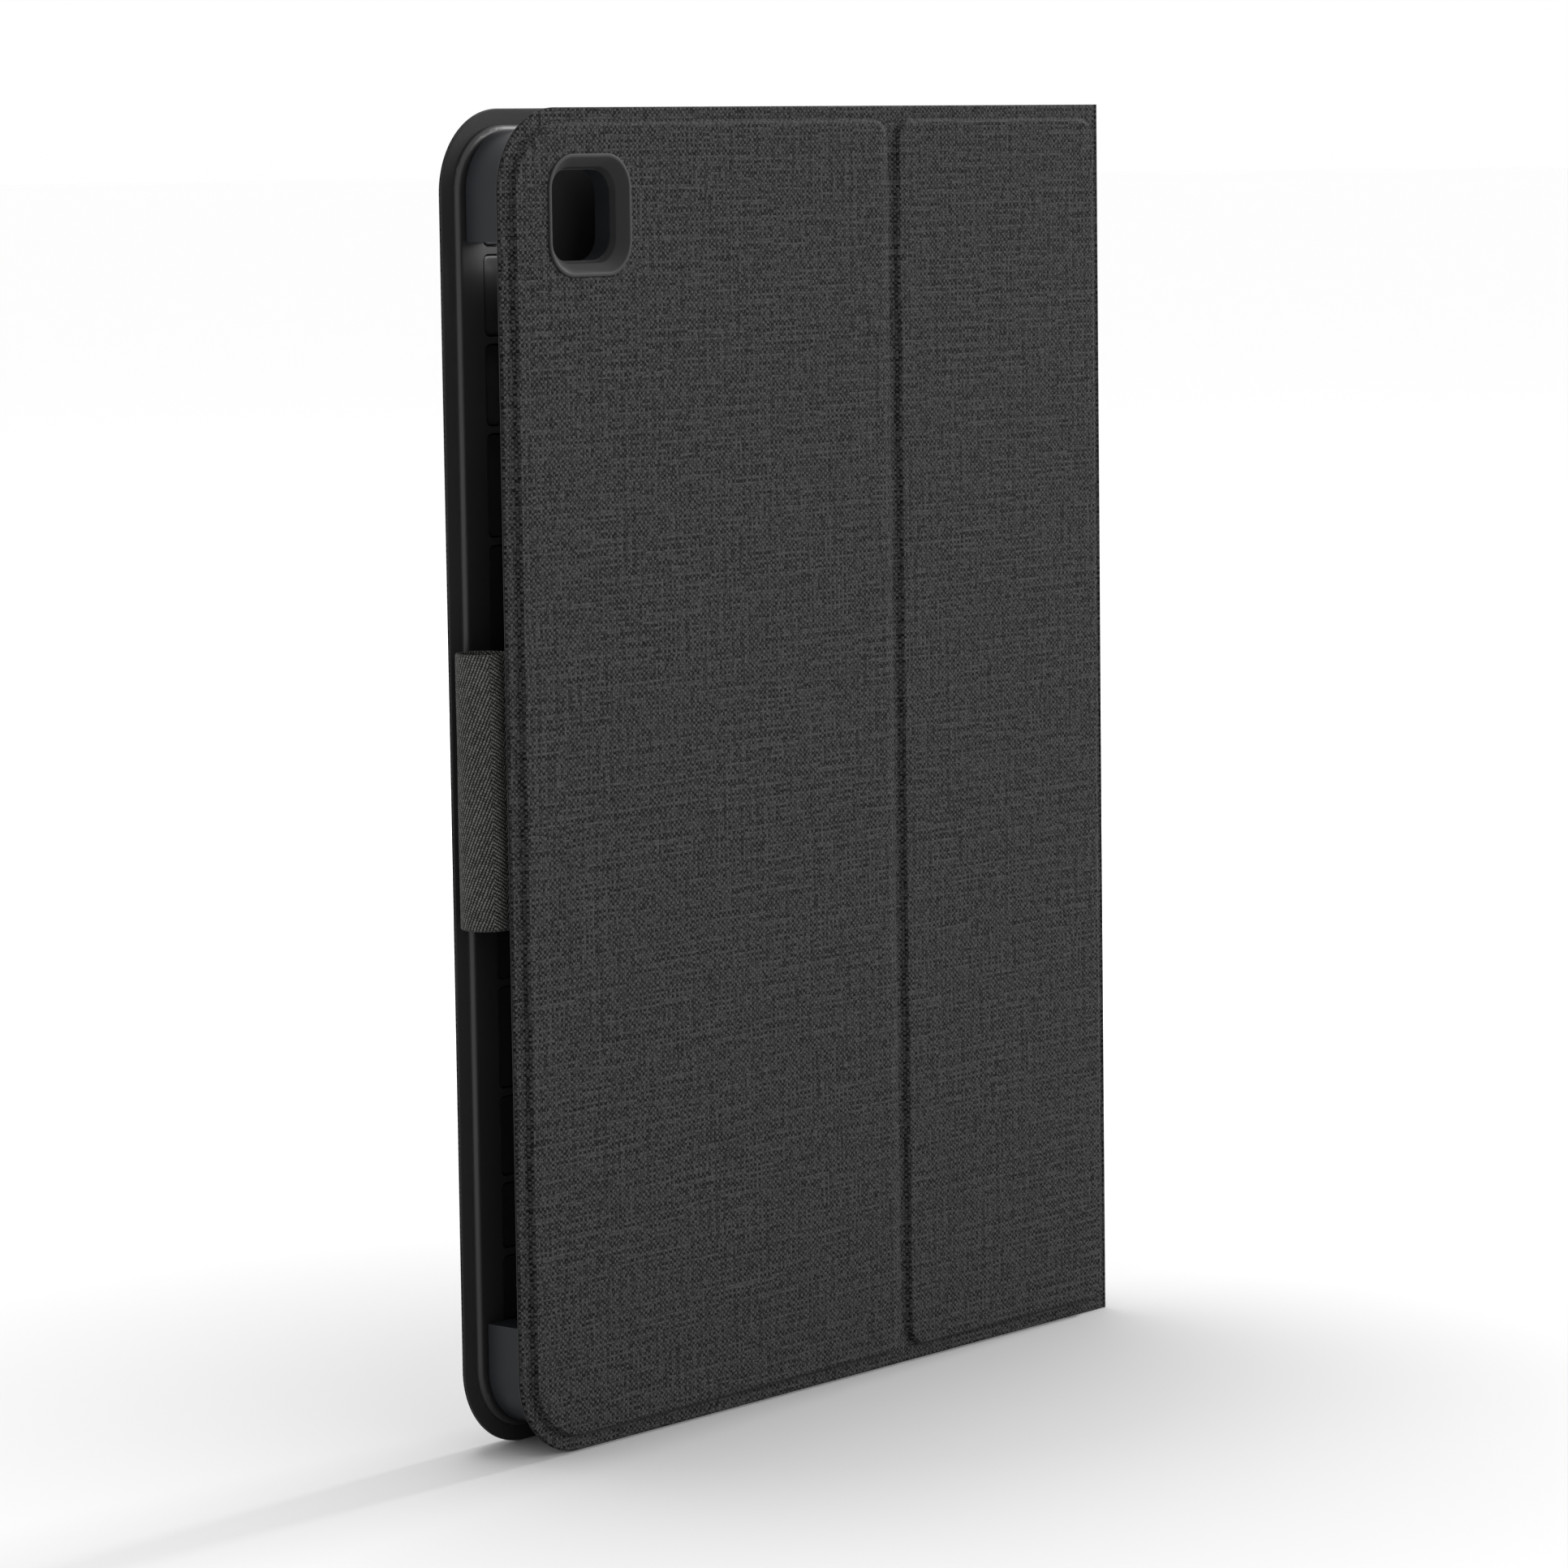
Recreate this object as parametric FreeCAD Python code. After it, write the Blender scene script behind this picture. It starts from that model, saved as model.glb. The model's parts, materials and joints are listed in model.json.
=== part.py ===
"""Tablet keyboard case: a fabric folio that stands closed on its short edge.

Frame: +Z up along the tall side of the cover, +X along the cover from its open
edge to its spine, +Y from the back cover to the keyboard cover. Millimetres.
All sizes below are set in cover coordinates: x = 0 at the open edge, y = 0 at
the outer face of the back cover's margin, z = 0 at the edge it stands on.
Every piece is moved at the end so that the origin is the bottom centre of the
whole object's box.
"""

import FreeCAD
import Part
import math
import os

from FreeCAD import Vector

# ---- covers, sized from the tablet further down ------------------------------
cover_corner_radius = 16.4
skin_thickness = 0.5             # woven outer skin
lining_thickness = 0.45          # smooth inner lining
margin_width = 3.1               # flat rim round the raised panels

# ---- back cover panels ----------------------------------------------------
back_rise = 1.1                  # how far the boards lift the skin
crease_to_spine = 71.0           # centre of the fold groove to the spine's outer face
crease_width = 3.3
panel_fold_radius = 4.5          # panel corners beside the groove and spine
spine_setback = 2.8              # panel edge to the spine's outer face

# ---- spine and its two fold lines ------------------------------------------
fold_radius = 0.5                # rolled skin at each fold line
fold_clearance = 0.1
spine_board_thickness = 0.6
spine_end_gap = 0.15

# ---- camera window ----------------------------------------------------------
camera_inset_x = 13.3            # window centre from the tablet's open side
camera_inset_z = 15.0            # and from the tablet's upper short side
window_size = 17.6               # hole through the tray
window_radius = 5.0
ring_throat_gap = 0.45           # tray hole to the ring's throat, each side
ring_wall = 2.6
ring_radius = 7.0
ring_proud = 0.4
ring_rim = 0.6
ring_pad_gap = 0.5               # pad to the ring, each side

# ---- tablet bay and its tray -------------------------------------------------
tablet_width = 174.1
tablet_height = 250.6
tablet_thickness = 7.5
tablet_corner_radius = 9.0
tablet_open_edge = 11.0          # tablet's side from the cover's open edge
tablet_end_gap = 5.7             # tablet's short sides to the covers' edges
pad_thickness = 0.8
pad_inset = 2.0                  # pad inside the tray's outline
tray_height = 3.75
tray_plate = 1.4
tray_rib = 1.6
tray_cell_columns = 5
tray_cell_rows = 7
tray_overhang = 1.1              # tray plate beyond the tablet on the open side
tray_wall = 1.0                  # tray beyond the tablet on the spine side
tray_spine_gap = 0.35            # tray to the spine's lining
corner_wall_x = 6.4              # corner holder beyond the tablet's open side
corner_wall_z = 1.4              # corner holder beyond the tablet's short sides
corner_length_z = 21.2
corner_length_x = 24.0
corner_edge_radius = 0.6
lip_reach = 1.0
lip_thickness = 0.4
closing_gap = 0.3                # closed deck to corner holders

# ---- stylus sleeve ------------------------------------------------------------
sleeve_axis_inset = 9.1          # sleeve's axis outside the tablet's open side
sleeve_bore_radius = 4.5
sleeve_wall = 0.7
sleeve_length = 53.6
sleeve_offset_z = 0.1            # sleeve's middle above the cover's middle
sleeve_tab_length = 13.0         # sewn tab under the tablet
sleeve_tab_gap = 1.0             # room left round the tab
sleeve_neck_outer = 2.1          # outer bend of the neck, outside the tablet
sleeve_neck_inner = 1.7          # inner bend of the neck, outside the tablet
sleeve_neck_width = 2.0
sleeve_neck_depth = 1.2

# ---- keyboard cover -------------------------------------------------------------
deck_rise = 1.35                 # deck face above the inner face of the margin
deck_plate = 1.2
deck_edge_radius = 1.1
deck_wall = 1.2
base_thickness = 0.8
membrane_thickness = 0.35
circuit_thickness = 0.8

# ---- keys -------------------------------------------------------------------------
key_side_margin = 9.9            # keys to the cover's short edges
key_columns = 14
key_rows = 5
key_gap = 1.8
key_clearance = 0.25
key_recess = 0.3                 # key tops below the deck face
key_depth = 1.2
key_corner_radius = 1.3
key_travel = 1.2
key_stop_gap = 0.15              # pressed key to membrane
function_pitch = 10.5
keys_front_x = 9.2

# ---- deck fittings -----------------------------------------------------------------
strip_gap = 5.0                  # function keys to the tablet rest strip
strip_width = 5.0
strip_length = 200.0
strip_depth = 0.5
magnet_length = 14.0
magnet_width = 2.4
magnet_depth = 1.4
switch_slot_length = 9.0
switch_slot_width = 3.4
switch_travel = 2.4
switch_clearance = 0.2
switch_recess = 0.2              # knob below the deck face
switch_body_wall = 1.5
switch_z = 40.0
fitting_gap = 6.0                # rest strip to the fittings behind it
light_radius = 0.7
light_offset = 9.0
cell_diameter = 20.0
cell_thickness = 2.5
cell_spacing = 25.0
cell_drop = 57.0                 # cells' middle below the cover's upper edge
cell_clearance = 0.3
lid_length = 52.0
lid_width = 24.0
lid_travel = 3.0
well_floor = 0.4                 # ledge under the battery lid
well_wall = 2.0
lid_clearance = 0.2
lid_face_gap = 0.1               # lid below the deck's faces
lid_corner_radius = 2.0
contact_thickness = 0.2
contact_width = 6.0
contact_length = 18.0
board_width = 26.0
board_length = 70.0
board_gap = 2.3                  # status light to the board
wake_magnet_radius = 3.0
wake_magnet_depth = 1.2
wake_magnet_inset = 12.0         # from the deck's spine edge

# ---- levels through the closed case ---------------------------------------------------
margin_thickness = skin_thickness + lining_thickness
pad_bottom = margin_thickness
tray_bottom = pad_bottom + pad_thickness
tray_floor = tray_bottom + tray_height
tablet_front = tray_floor + tablet_thickness
corner_top = tablet_front + lip_thickness
deck_face = corner_top + closing_gap
deck_outer = deck_face + deck_rise
closed_thickness = deck_outer + margin_thickness
deck_under = deck_face + deck_plate
key_top = deck_face + key_recess
base_inner = key_top + key_depth + key_travel + key_stop_gap + membrane_thickness
base_outer = base_inner + base_thickness
front_outer = base_outer + skin_thickness
panel_outer = -back_rise
ring_outer = panel_outer - ring_proud

# ---- places along the cover -------------------------------------------------------------
cover_height = tablet_height + 2 * tablet_end_gap
tablet_spine_edge = tablet_open_edge + tablet_width
tablet_low = tablet_end_gap
tablet_high = tablet_low + tablet_height
tray_open_x = tablet_open_edge - tray_overhang
tray_end_x = tablet_spine_edge + tray_wall
corner_outer_x = tablet_open_edge - corner_wall_x
tray_low = tablet_low - corner_wall_z
tray_high = tablet_high + corner_wall_z
spine_thickness = lining_thickness + spine_board_thickness + skin_thickness
cover_width = tray_end_x + tray_spine_gap + spine_thickness
panel_radius = cover_corner_radius - margin_width
fold_axis_x = cover_width - fold_radius
margin_end_x = fold_axis_x - fold_radius - fold_clearance
panel_end_x = cover_width - spine_setback
crease_open_side = cover_width - crease_to_spine - crease_width / 2
crease_spine_side = crease_open_side + crease_width
window_centre_x = tablet_open_edge + camera_inset_x
window_z = tablet_high - camera_inset_z
ring_inner_size = window_size + 2 * ring_throat_gap
ring_size = ring_inner_size + 2 * ring_wall
sleeve_outer_radius = sleeve_bore_radius + sleeve_wall
sleeve_x = tablet_open_edge - sleeve_axis_inset
sleeve_y = deck_face - sleeve_outer_radius
sleeve_tab_reach = tablet_open_edge + sleeve_tab_length
sleeve_tab_thickness = sleeve_wall
sleeve_centre_z = cover_height / 2 + sleeve_offset_z
back_fold_y = fold_radius
front_fold_y = closed_thickness - fold_radius
key_pitch = (cover_height - 2 * key_side_margin) / key_columns
function_x = keys_front_x + key_rows * key_pitch
strip_x = function_x + function_pitch + strip_gap + strip_width / 2
fittings_x = strip_x + strip_width / 2 + fitting_gap
keys_left_z = cover_height - key_side_margin
lid_x = fittings_x + lid_width / 2
cell_z = cover_height - cell_drop
light_z = switch_z + switch_slot_length + light_offset
board_z = light_z + light_radius + board_gap

# ---- origin at the bottom centre of the whole box ------------------------------------------
box_low_x = min(0.0, sleeve_x - sleeve_outer_radius)
box_high_x = cover_width
origin = Vector(
    (box_low_x + box_high_x) / 2,
    (ring_outer + front_outer) / 2,
    0.0,
)


def box(x0, x1, y0, y1, z0, z1):
    """A box between two corners."""
    return Part.makeBox(x1 - x0, y1 - y0, z1 - z0, Vector(x0, y0, z0))


def outline(x0, x1, z0, z1, y, radii):
    """A rounded rectangle wire; radii run from low-x low-z round to low-x high-z."""
    corners = [
        (x0, z0, 1, 0, 0, 1),
        (x1, z0, 0, 1, -1, 0),
        (x1, z1, -1, 0, 0, -1),
        (x0, z1, 0, -1, 1, 0),
    ]
    edges = []
    last = None
    first = None
    for (x, z, out_x, out_z, in_x, in_z), radius in zip(corners, radii):
        start = Vector(x + in_x * radius, y, z + in_z * radius)
        end = Vector(x + out_x * radius, y, z + out_z * radius)
        if last is not None:
            edges.append(Part.makeLine(last, start))
        else:
            first = start
        if radius > 0.0:
            shrink = 1 - math.sqrt(0.5)
            middle = Vector(
                x + (in_x + out_x) * radius * shrink,
                y,
                z + (in_z + out_z) * radius * shrink,
            )
            edges.append(Part.Arc(start, middle, end).toShape())
        last = end
    edges.append(Part.makeLine(last, first))
    return Part.Wire(edges)


def plate(x0, x1, z0, z1, y0, y1, radii):
    """A rounded plate from y0 to y1."""
    face = Part.Face(outline(x0, x1, z0, z1, y0, radii))
    return face.extrude(Vector(0, y1 - y0, 0))


def rod(x, z, y0, y1, radius):
    """A round piece along Y."""
    return Part.makeCylinder(radius, y1 - y0, Vector(x, y0, z), Vector(0, 1, 0))


def square(centre_x, centre_z, size, y0, y1, radius):
    """A rounded square plate about a centre."""
    half = size / 2
    return plate(
        centre_x - half, centre_x + half, centre_z - half, centre_z + half, y0, y1, [radius] * 4
    )


def cover_sheet(y0, y1, inset=0.0):
    """The covers' shared outline: round at the open edge, square at the spine."""
    radius = cover_corner_radius - inset
    return plate(
        inset, margin_end_x - inset, inset, cover_height - inset, y0, y1, [radius, 0, 0, radius]
    )


def save(name, shape):
    """Move one piece into the object's frame and write it."""
    moved = shape.copy()
    moved.translate(Vector(-origin.x, -origin.y, -origin.z))
    moved.exportStep("parts/" + name + ".step")


# ---- back cover ------------------------------------------------------------------------------
def main_panel(y0, y1, inset=0.0):
    """The larger raised panel, beside the open edge."""
    outer = panel_radius - inset
    inner = panel_fold_radius - inset
    return plate(
        margin_width + inset,
        crease_open_side - inset,
        margin_width + inset,
        cover_height - margin_width - inset,
        y0,
        y1,
        [outer, inner, inner, outer],
    )


def fold_panel(y0, y1, inset=0.0):
    """The narrower raised panel between the groove and the spine."""
    return plate(
        crease_spine_side + inset,
        panel_end_x - inset,
        margin_width + inset,
        cover_height - margin_width - inset,
        y0,
        y1,
        [panel_fold_radius - inset] * 4,
    )


def window_cut(size, y0, y1, radius):
    """The camera window as a cutting block."""
    return square(window_centre_x, window_z, size, y0, y1, radius)


def back_cover():
    """Skin, two boards, lining and camera ring of the back cover."""
    skin_inner = panel_outer + skin_thickness
    ring_seat = window_cut(ring_size, ring_outer, margin_thickness, ring_radius)
    skin = cover_sheet(0.0, skin_thickness)
    skin = skin.fuse([main_panel(panel_outer, skin_thickness), fold_panel(panel_outer, skin_thickness)])
    main_board = main_panel(skin_inner, skin_thickness, skin_thickness)
    fold_board = fold_panel(skin_inner, skin_thickness, skin_thickness)
    skin = skin.cut([main_board, fold_board, ring_seat]).removeSplitter()
    lining = cover_sheet(skin_thickness, margin_thickness).cut(ring_seat)
    save("back_fabric", skin)
    save("main_board", main_board.cut(ring_seat))
    save("fold_board", fold_board)
    save("back_lining", lining)


def camera_ring():
    """Bezel round the window, with a funnel from its rim down to the hole."""
    body = window_cut(ring_size, ring_outer, tray_bottom, ring_radius)
    mouth = ring_size - 2 * ring_rim
    funnel_end = skin_thickness
    rim = outline(
        window_centre_x - mouth / 2,
        window_centre_x + mouth / 2,
        window_z - mouth / 2,
        window_z + mouth / 2,
        ring_outer,
        [ring_radius - ring_rim] * 4,
    )
    throat = outline(
        window_centre_x - ring_inner_size / 2,
        window_centre_x + ring_inner_size / 2,
        window_z - ring_inner_size / 2,
        window_z + ring_inner_size / 2,
        funnel_end,
        [window_radius] * 4,
    )
    funnel = Part.makeLoft([rim, throat], True, True)
    hole = window_cut(ring_inner_size, funnel_end, tray_bottom, window_radius)
    save("camera_ring", body.cut([funnel, hole]))


# ---- tray -------------------------------------------------------------------------------------
def bonding_pad():
    """Adhesive foam that holds the tray to the main panel only."""
    pad = box(
        tray_open_x + pad_inset,
        crease_open_side - pad_inset,
        pad_bottom,
        tray_bottom,
        tray_low + pad_inset,
        tray_high - pad_inset,
    )
    ring_seat = window_cut(ring_size + 2 * ring_pad_gap, pad_bottom, tray_bottom, ring_radius)
    save("bonding_pad", pad.cut([ring_seat, sleeve_tab_space()]))


def sleeve_tab_space():
    """Room for the sleeve's sewn tab under the tray."""
    half = sleeve_length / 2 + sleeve_tab_gap
    return box(
        0.0,
        sleeve_tab_reach + sleeve_tab_gap,
        pad_bottom,
        tray_bottom,
        sleeve_centre_z - half,
        sleeve_centre_z + half,
    )


def tray_cells():
    """The hollow cells between the ribs under the tray's plate."""
    pitch_x = (tray_end_x - tray_open_x - tray_rib) / tray_cell_columns
    pitch_z = (tray_high - tray_low - tray_rib) / tray_cell_rows
    cells = []
    for column in range(tray_cell_columns):
        for row in range(tray_cell_rows):
            x0 = tray_open_x + tray_rib + column * pitch_x
            z0 = tray_low + tray_rib + row * pitch_z
            cells.append(
                box(x0, x0 + pitch_x - tray_rib, tray_bottom, tray_floor - tray_plate,
                    z0, z0 + pitch_z - tray_rib)
            )
    return cells


def bay_column(y0, y1, inset=0.0):
    """The tablet's outline as a block."""
    return plate(
        tablet_open_edge + inset,
        tablet_spine_edge - inset,
        tablet_low + inset,
        tablet_high - inset,
        y0,
        y1,
        [tablet_corner_radius - inset] * 4,
    )


def corner_block(side_x, side_z, radius):
    """One corner of the tray as a block with its outer corner rounded."""
    if side_x == 0:
        x0 = corner_outer_x
        x1 = corner_outer_x + corner_length_x
    else:
        x0 = tray_end_x - corner_length_x
        x1 = tray_end_x
    if side_z == 0:
        z0 = tray_low
        z1 = tray_low + corner_length_z
    else:
        z0 = tray_high - corner_length_z
        z1 = tray_high
    corner = side_x if side_z == 0 else 3 - side_x
    radii = [radius if index == corner else 0.0 for index in range(4)]
    return plate(x0, x1, z0, z1, tray_bottom, corner_top, radii)


def corner_wall(side_x, side_z):
    """The wall of one corner holder, outside the tablet's outline."""
    open_radius = cover_corner_radius - corner_outer_x
    spine_radius = tablet_corner_radius + tray_wall
    block = corner_block(side_x, side_z, (open_radius, spine_radius)[side_x])
    rim = [edge for edge in block.Edges if edge.BoundBox.YMin > corner_top - 1e-6]
    block = block.makeFillet(corner_edge_radius, rim)
    return block.cut(bay_column(tray_bottom, tablet_front))


def tray():
    """Ribbed moulded tray whose floor the tablet lies on."""
    body = box(tray_open_x, tray_end_x, tray_bottom, tray_floor, tray_low, tray_high)
    body = body.cut(tray_cells())
    boss_size = window_size + 2 * tray_rib
    body = body.fuse(window_cut(boss_size, tray_bottom, tray_floor, window_radius + tray_rib))
    body = body.cut(window_cut(window_size, tray_bottom, tray_floor, window_radius))
    bay = bay_column(tray_bottom, tablet_front)
    for side_x, side_z in corner_sides():
        body = body.cut(corner_block(side_x, side_z, 0.0).cut(bay))
    save("tablet_tray", body.removeSplitter())


def corner_sides():
    """The four corners as pairs: open or spine side, lower or upper."""
    return [(0, 0), (1, 0), (1, 1), (0, 1)]


def corner_holders():
    """Four corner holders: a wall beside the tablet and a lip over its edge."""
    opening = bay_column(tablet_front, corner_top, lip_reach)
    for side_x, side_z in corner_sides():
        name = "corner_" + ("lower", "upper")[side_z] + "_" + ("open", "spine")[side_x]
        save(name, corner_wall(side_x, side_z).cut(opening))


def magnet_row(x0, x1, y0, y1):
    """One magnet along Z for each row of tray cells."""
    pitch = (tray_high - tray_low - tray_rib) / tray_cell_rows
    bars = []
    for row in range(tray_cell_rows):
        z0 = tray_low + tray_rib / 2 + (row + 0.5) * pitch - magnet_length / 2
        bars.append(box(x0, x1, y0, y1, z0, z0 + magnet_length))
    return Part.makeCompound(bars)


def tray_magnets():
    """Magnets in the tray's spine edge that hold the tablet on the rest strip."""
    x1 = tray_end_x - tray_rib
    y1 = tray_floor - tray_plate
    save("tray_magnets", magnet_row(x1 - magnet_width, x1, y1 - magnet_depth, y1))


# ---- stylus sleeve -----------------------------------------------------------------------------
def stylus_sleeve():
    """Elastic loop with its two ends sewn flat under the tray."""
    z0 = sleeve_centre_z - sleeve_length / 2
    up = Vector(0, 0, 1)
    loop = Part.makeCylinder(sleeve_outer_radius, sleeve_length, Vector(sleeve_x, sleeve_y, z0), up)
    low = sleeve_y - sleeve_outer_radius
    y0 = pad_bottom
    y1 = pad_bottom + sleeve_tab_thickness
    neck = Part.Face(
        Part.makePolygon(
            [
                Vector(sleeve_x, low, z0),
                Vector(tablet_open_edge - sleeve_neck_outer, y0, z0),
                Vector(sleeve_tab_reach, y0, z0),
                Vector(sleeve_tab_reach, y1, z0),
                Vector(tablet_open_edge - sleeve_neck_inner, y1, z0),
                Vector(sleeve_x + sleeve_neck_width, low + sleeve_neck_depth, z0),
                Vector(sleeve_x, low, z0),
            ]
        )
    ).extrude(Vector(0, 0, sleeve_length))
    bore = Part.makeCylinder(sleeve_bore_radius, sleeve_length, Vector(sleeve_x, sleeve_y, z0), up)
    save("stylus_sleeve", loop.fuse(neck).cut(bore).removeSplitter())


# ---- spine ----------------------------------------------------------------------------------------
def spine():
    """Skin with a rolled fold at each side, board and lining between the covers."""
    y0 = margin_thickness + spine_end_gap
    y1 = closed_thickness - margin_thickness - spine_end_gap
    skin_x = cover_width - skin_thickness
    board_x = skin_x - spine_board_thickness
    skin = box(skin_x, cover_width, back_fold_y, front_fold_y, 0.0, cover_height)
    for fold_y in (back_fold_y, front_fold_y):
        roll = Part.makeCylinder(fold_radius, cover_height, Vector(fold_axis_x, fold_y, 0.0))
        skin = skin.fuse(roll)
    save("spine_fabric", skin.removeSplitter())
    save("spine_board", box(board_x, skin_x, y0, y1, 0.0, cover_height))
    lining = box(board_x - lining_thickness, board_x, y0, y1, 0.0, cover_height)
    save("spine_lining", lining)


# ---- keyboard cover ------------------------------------------------------------------------------
def housing(y0, y1, inset=0.0):
    """The raised keyboard housing's outline."""
    place = margin_width + inset
    radius = panel_radius - inset
    return plate(
        place, panel_end_x - inset, place, cover_height - place, y0, y1,
        [radius, panel_fold_radius - inset, panel_fold_radius - inset, radius],
    )


def front_cover():
    """Skin, margin lining and base plate of the keyboard cover."""
    pocket = housing(deck_outer, base_outer, skin_thickness)
    skin = cover_sheet(deck_outer + lining_thickness, closed_thickness)
    skin = skin.fuse(housing(closed_thickness - skin_thickness, front_outer)).cut(pocket)
    save("front_fabric", skin.removeSplitter())
    save("front_lining", cover_sheet(deck_outer, deck_outer + lining_thickness).cut(pocket))
    base = housing(base_inner, base_outer, skin_thickness)
    save("base_plate", base.cut(cell_windows(base_inner, base_outer)))


def cell_centres():
    """The two coin cells' centres."""
    return [cell_z - cell_spacing / 2, cell_z + cell_spacing / 2]


def cell_windows(y0, y1):
    """Round cut-outs that the coin cells sit in."""
    radius = cell_diameter / 2 + cell_clearance
    return [rod(lid_x, z, y0, y1, radius) for z in cell_centres()]


def key_box(x0, z_high, length, depth, y0, y1, grow):
    """One key's outline, from its front left corner."""
    half = key_gap / 2 - grow
    return plate(
        x0 + half, x0 + depth - half, z_high - length + half, z_high - half, y0, y1,
        [key_corner_radius + grow] * 4,
    )


def key_layout():
    """Every key as (node, x, left z, length, depth), left to right, front row first."""
    single = key_pitch
    arrow = 2.5 / 3
    space = key_columns - 9          # what the front row's other keys leave
    front = [("front_row_keys", 1.0)] * 3 + [("front_row_keys", 1.25), ("space_bar", space)]
    front += [("front_row_keys", 1.25), ("front_row_keys", 1.0), ("arrow_left_key", arrow)]
    lower = [("left_shift_key", 1.75)] + [("lower_row_keys", 1.0)] * 10 + [("right_shift_key", 2.25)]
    home = [("caps_key", 1.25)] + [("home_row_keys", 1.0)] * 11 + [("return_key", 1.75)]
    upper = [("tab_key", 1.0)] + [("upper_row_keys", 1.0)] * 13
    number = [("number_row_keys", 1.0)] * 13 + [("delete_key", 1.0)]
    keys = []
    for row, names in enumerate((front, lower, home, upper, number)):
        place = keys_left_z
        for name, units in names:
            keys.append((name, keys_front_x + row * single, place, units * single, single))
            place -= units * single
        if row == 0:
            half = single / 2
            keys.append(("arrow_down_key", keys_front_x, place, arrow * single, half))
            keys.append(("arrow_up_key", keys_front_x + half, place, arrow * single, half))
            place -= arrow * single
            keys.append(("arrow_right_key", keys_front_x, place, arrow * single, single))
    for column in range(key_columns):
        place = keys_left_z - column * single
        keys.append(("function_row_keys", function_x, place, single, function_pitch))
    return keys


def keys():
    """Key caps, one node for each wide or arrow key and one for each row of plain keys."""
    groups = {}
    for name, x, z, length, depth in key_layout():
        cap = key_box(x, z, length, depth, key_top, key_top + key_depth, 0.0)
        groups.setdefault(name, []).append(cap)
    for name, caps in groups.items():
        save(name, caps[0] if len(caps) == 1 else Part.makeCompound(caps))


def strip_box(y0, y1):
    """The groove that the tablet's edge rests in."""
    z0 = (cover_height - strip_length) / 2
    return box(strip_x - strip_width / 2, strip_x + strip_width / 2, y0, y1, z0, z0 + strip_length)


def lid_plate(y0, y1, grow=0.0, travel=0.0):
    """The battery lid's outline, grown by a gap and lengthened by its travel."""
    half_x = lid_width / 2 + grow
    half_z = lid_length / 2 + grow
    return plate(
        lid_x - half_x, lid_x + half_x + travel, cell_z - half_z, cell_z + half_z, y0, y1,
        [lid_corner_radius + grow] * 4,
    )


def switch_block(y0, y1, length, width, low_z):
    """A block centred across the power switch's slot."""
    x0 = fittings_x + (switch_slot_width - width) / 2
    return box(x0, x0 + width, y0, y1, low_z, low_z + length)


def light_rod(y0, y1):
    """The status light's round window, in line with the switch."""
    x = fittings_x + switch_slot_width / 2
    return rod(x, light_z, y0, y1, light_radius)


def deck():
    """Moulded deck: rolled edge, key apertures, rest groove, lid well and switch slot."""
    face = housing(deck_face, deck_outer)
    rim = [edge for edge in face.Edges if edge.BoundBox.YMax < deck_face + 1e-6]
    face = face.makeFillet(deck_edge_radius, rim)
    skirt = housing(deck_outer, base_inner, skin_thickness)
    hollow = housing(deck_under, base_inner, skin_thickness + deck_wall)
    well = lid_plate(deck_under, deck_under + well_floor, well_wall, lid_travel)
    body = face.fuse(skirt).cut(hollow).fuse(well)
    cuts = [
        key_box(x, z, length, depth, deck_face, deck_under, key_clearance)
        for _, x, z, length, depth in key_layout()
    ]
    cuts.append(strip_box(deck_face, deck_face + strip_depth))
    cuts.append(lid_plate(deck_face, deck_under, lid_clearance, lid_travel))
    cuts += cell_windows(deck_under, deck_under + well_floor)
    cuts.append(
        switch_block(deck_face, deck_under, switch_slot_length, switch_slot_width, switch_z)
    )
    cuts.append(light_rod(deck_face, deck_under))
    save("keyboard_deck", body.cut(cuts).removeSplitter())


def deck_fittings():
    """Rest strip, magnets, lid, power switch and status light."""
    save("rest_strip", strip_box(deck_face + strip_depth / 2, deck_face + strip_depth))
    half = magnet_width / 2
    strip_magnets = magnet_row(strip_x - half, strip_x + half, deck_under, deck_under + magnet_depth)
    save("strip_magnets", strip_magnets)
    save("battery_lid", lid_plate(deck_face + lid_face_gap, deck_under - lid_face_gap))
    knob_width = switch_slot_width - 2 * switch_clearance
    knob_length = switch_slot_length - switch_travel - 2 * switch_clearance
    knob = switch_block(
        deck_face + switch_recess, deck_under, knob_length, knob_width, switch_z + switch_clearance
    )
    save("power_switch", knob)
    body = switch_block(
        deck_under + switch_clearance, base_inner, switch_slot_length + 2 * switch_body_wall,
        switch_slot_width + 2 * switch_body_wall, switch_z - switch_body_wall,
    )
    save("switch_body", body)
    save("status_light", light_rod(deck_face, base_inner))
    wake_x = panel_end_x - wake_magnet_inset
    wake = rod(wake_x, cover_height / 2, deck_under, deck_under + wake_magnet_depth, wake_magnet_radius)
    save("wake_magnet", wake)


def electronics():
    """Key membrane, controller board, coin cells and their contacts."""
    membrane = box(
        keys_front_x,
        function_x + function_pitch,
        base_inner - membrane_thickness,
        base_inner,
        keys_left_z - key_columns * key_pitch,
        keys_left_z,
    )
    save("key_membrane", membrane)
    board = box(
        fittings_x, fittings_x + board_width, base_inner - circuit_thickness, base_inner,
        board_z, board_z + board_length,
    )
    save("circuit_board", board)
    cell_outer = base_outer - contact_thickness
    cells = [
        rod(lid_x, z, cell_outer - cell_thickness, cell_outer, cell_diameter / 2)
        for z in cell_centres()
    ]
    save("coin_cells", Part.makeCompound(cells))
    contacts = [
        box(lid_x - contact_length / 2, lid_x + contact_length / 2, cell_outer, base_outer,
            z - contact_width / 2, z + contact_width / 2)
        for z in cell_centres()
    ]
    save("battery_contacts", Part.makeCompound(contacts))


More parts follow.
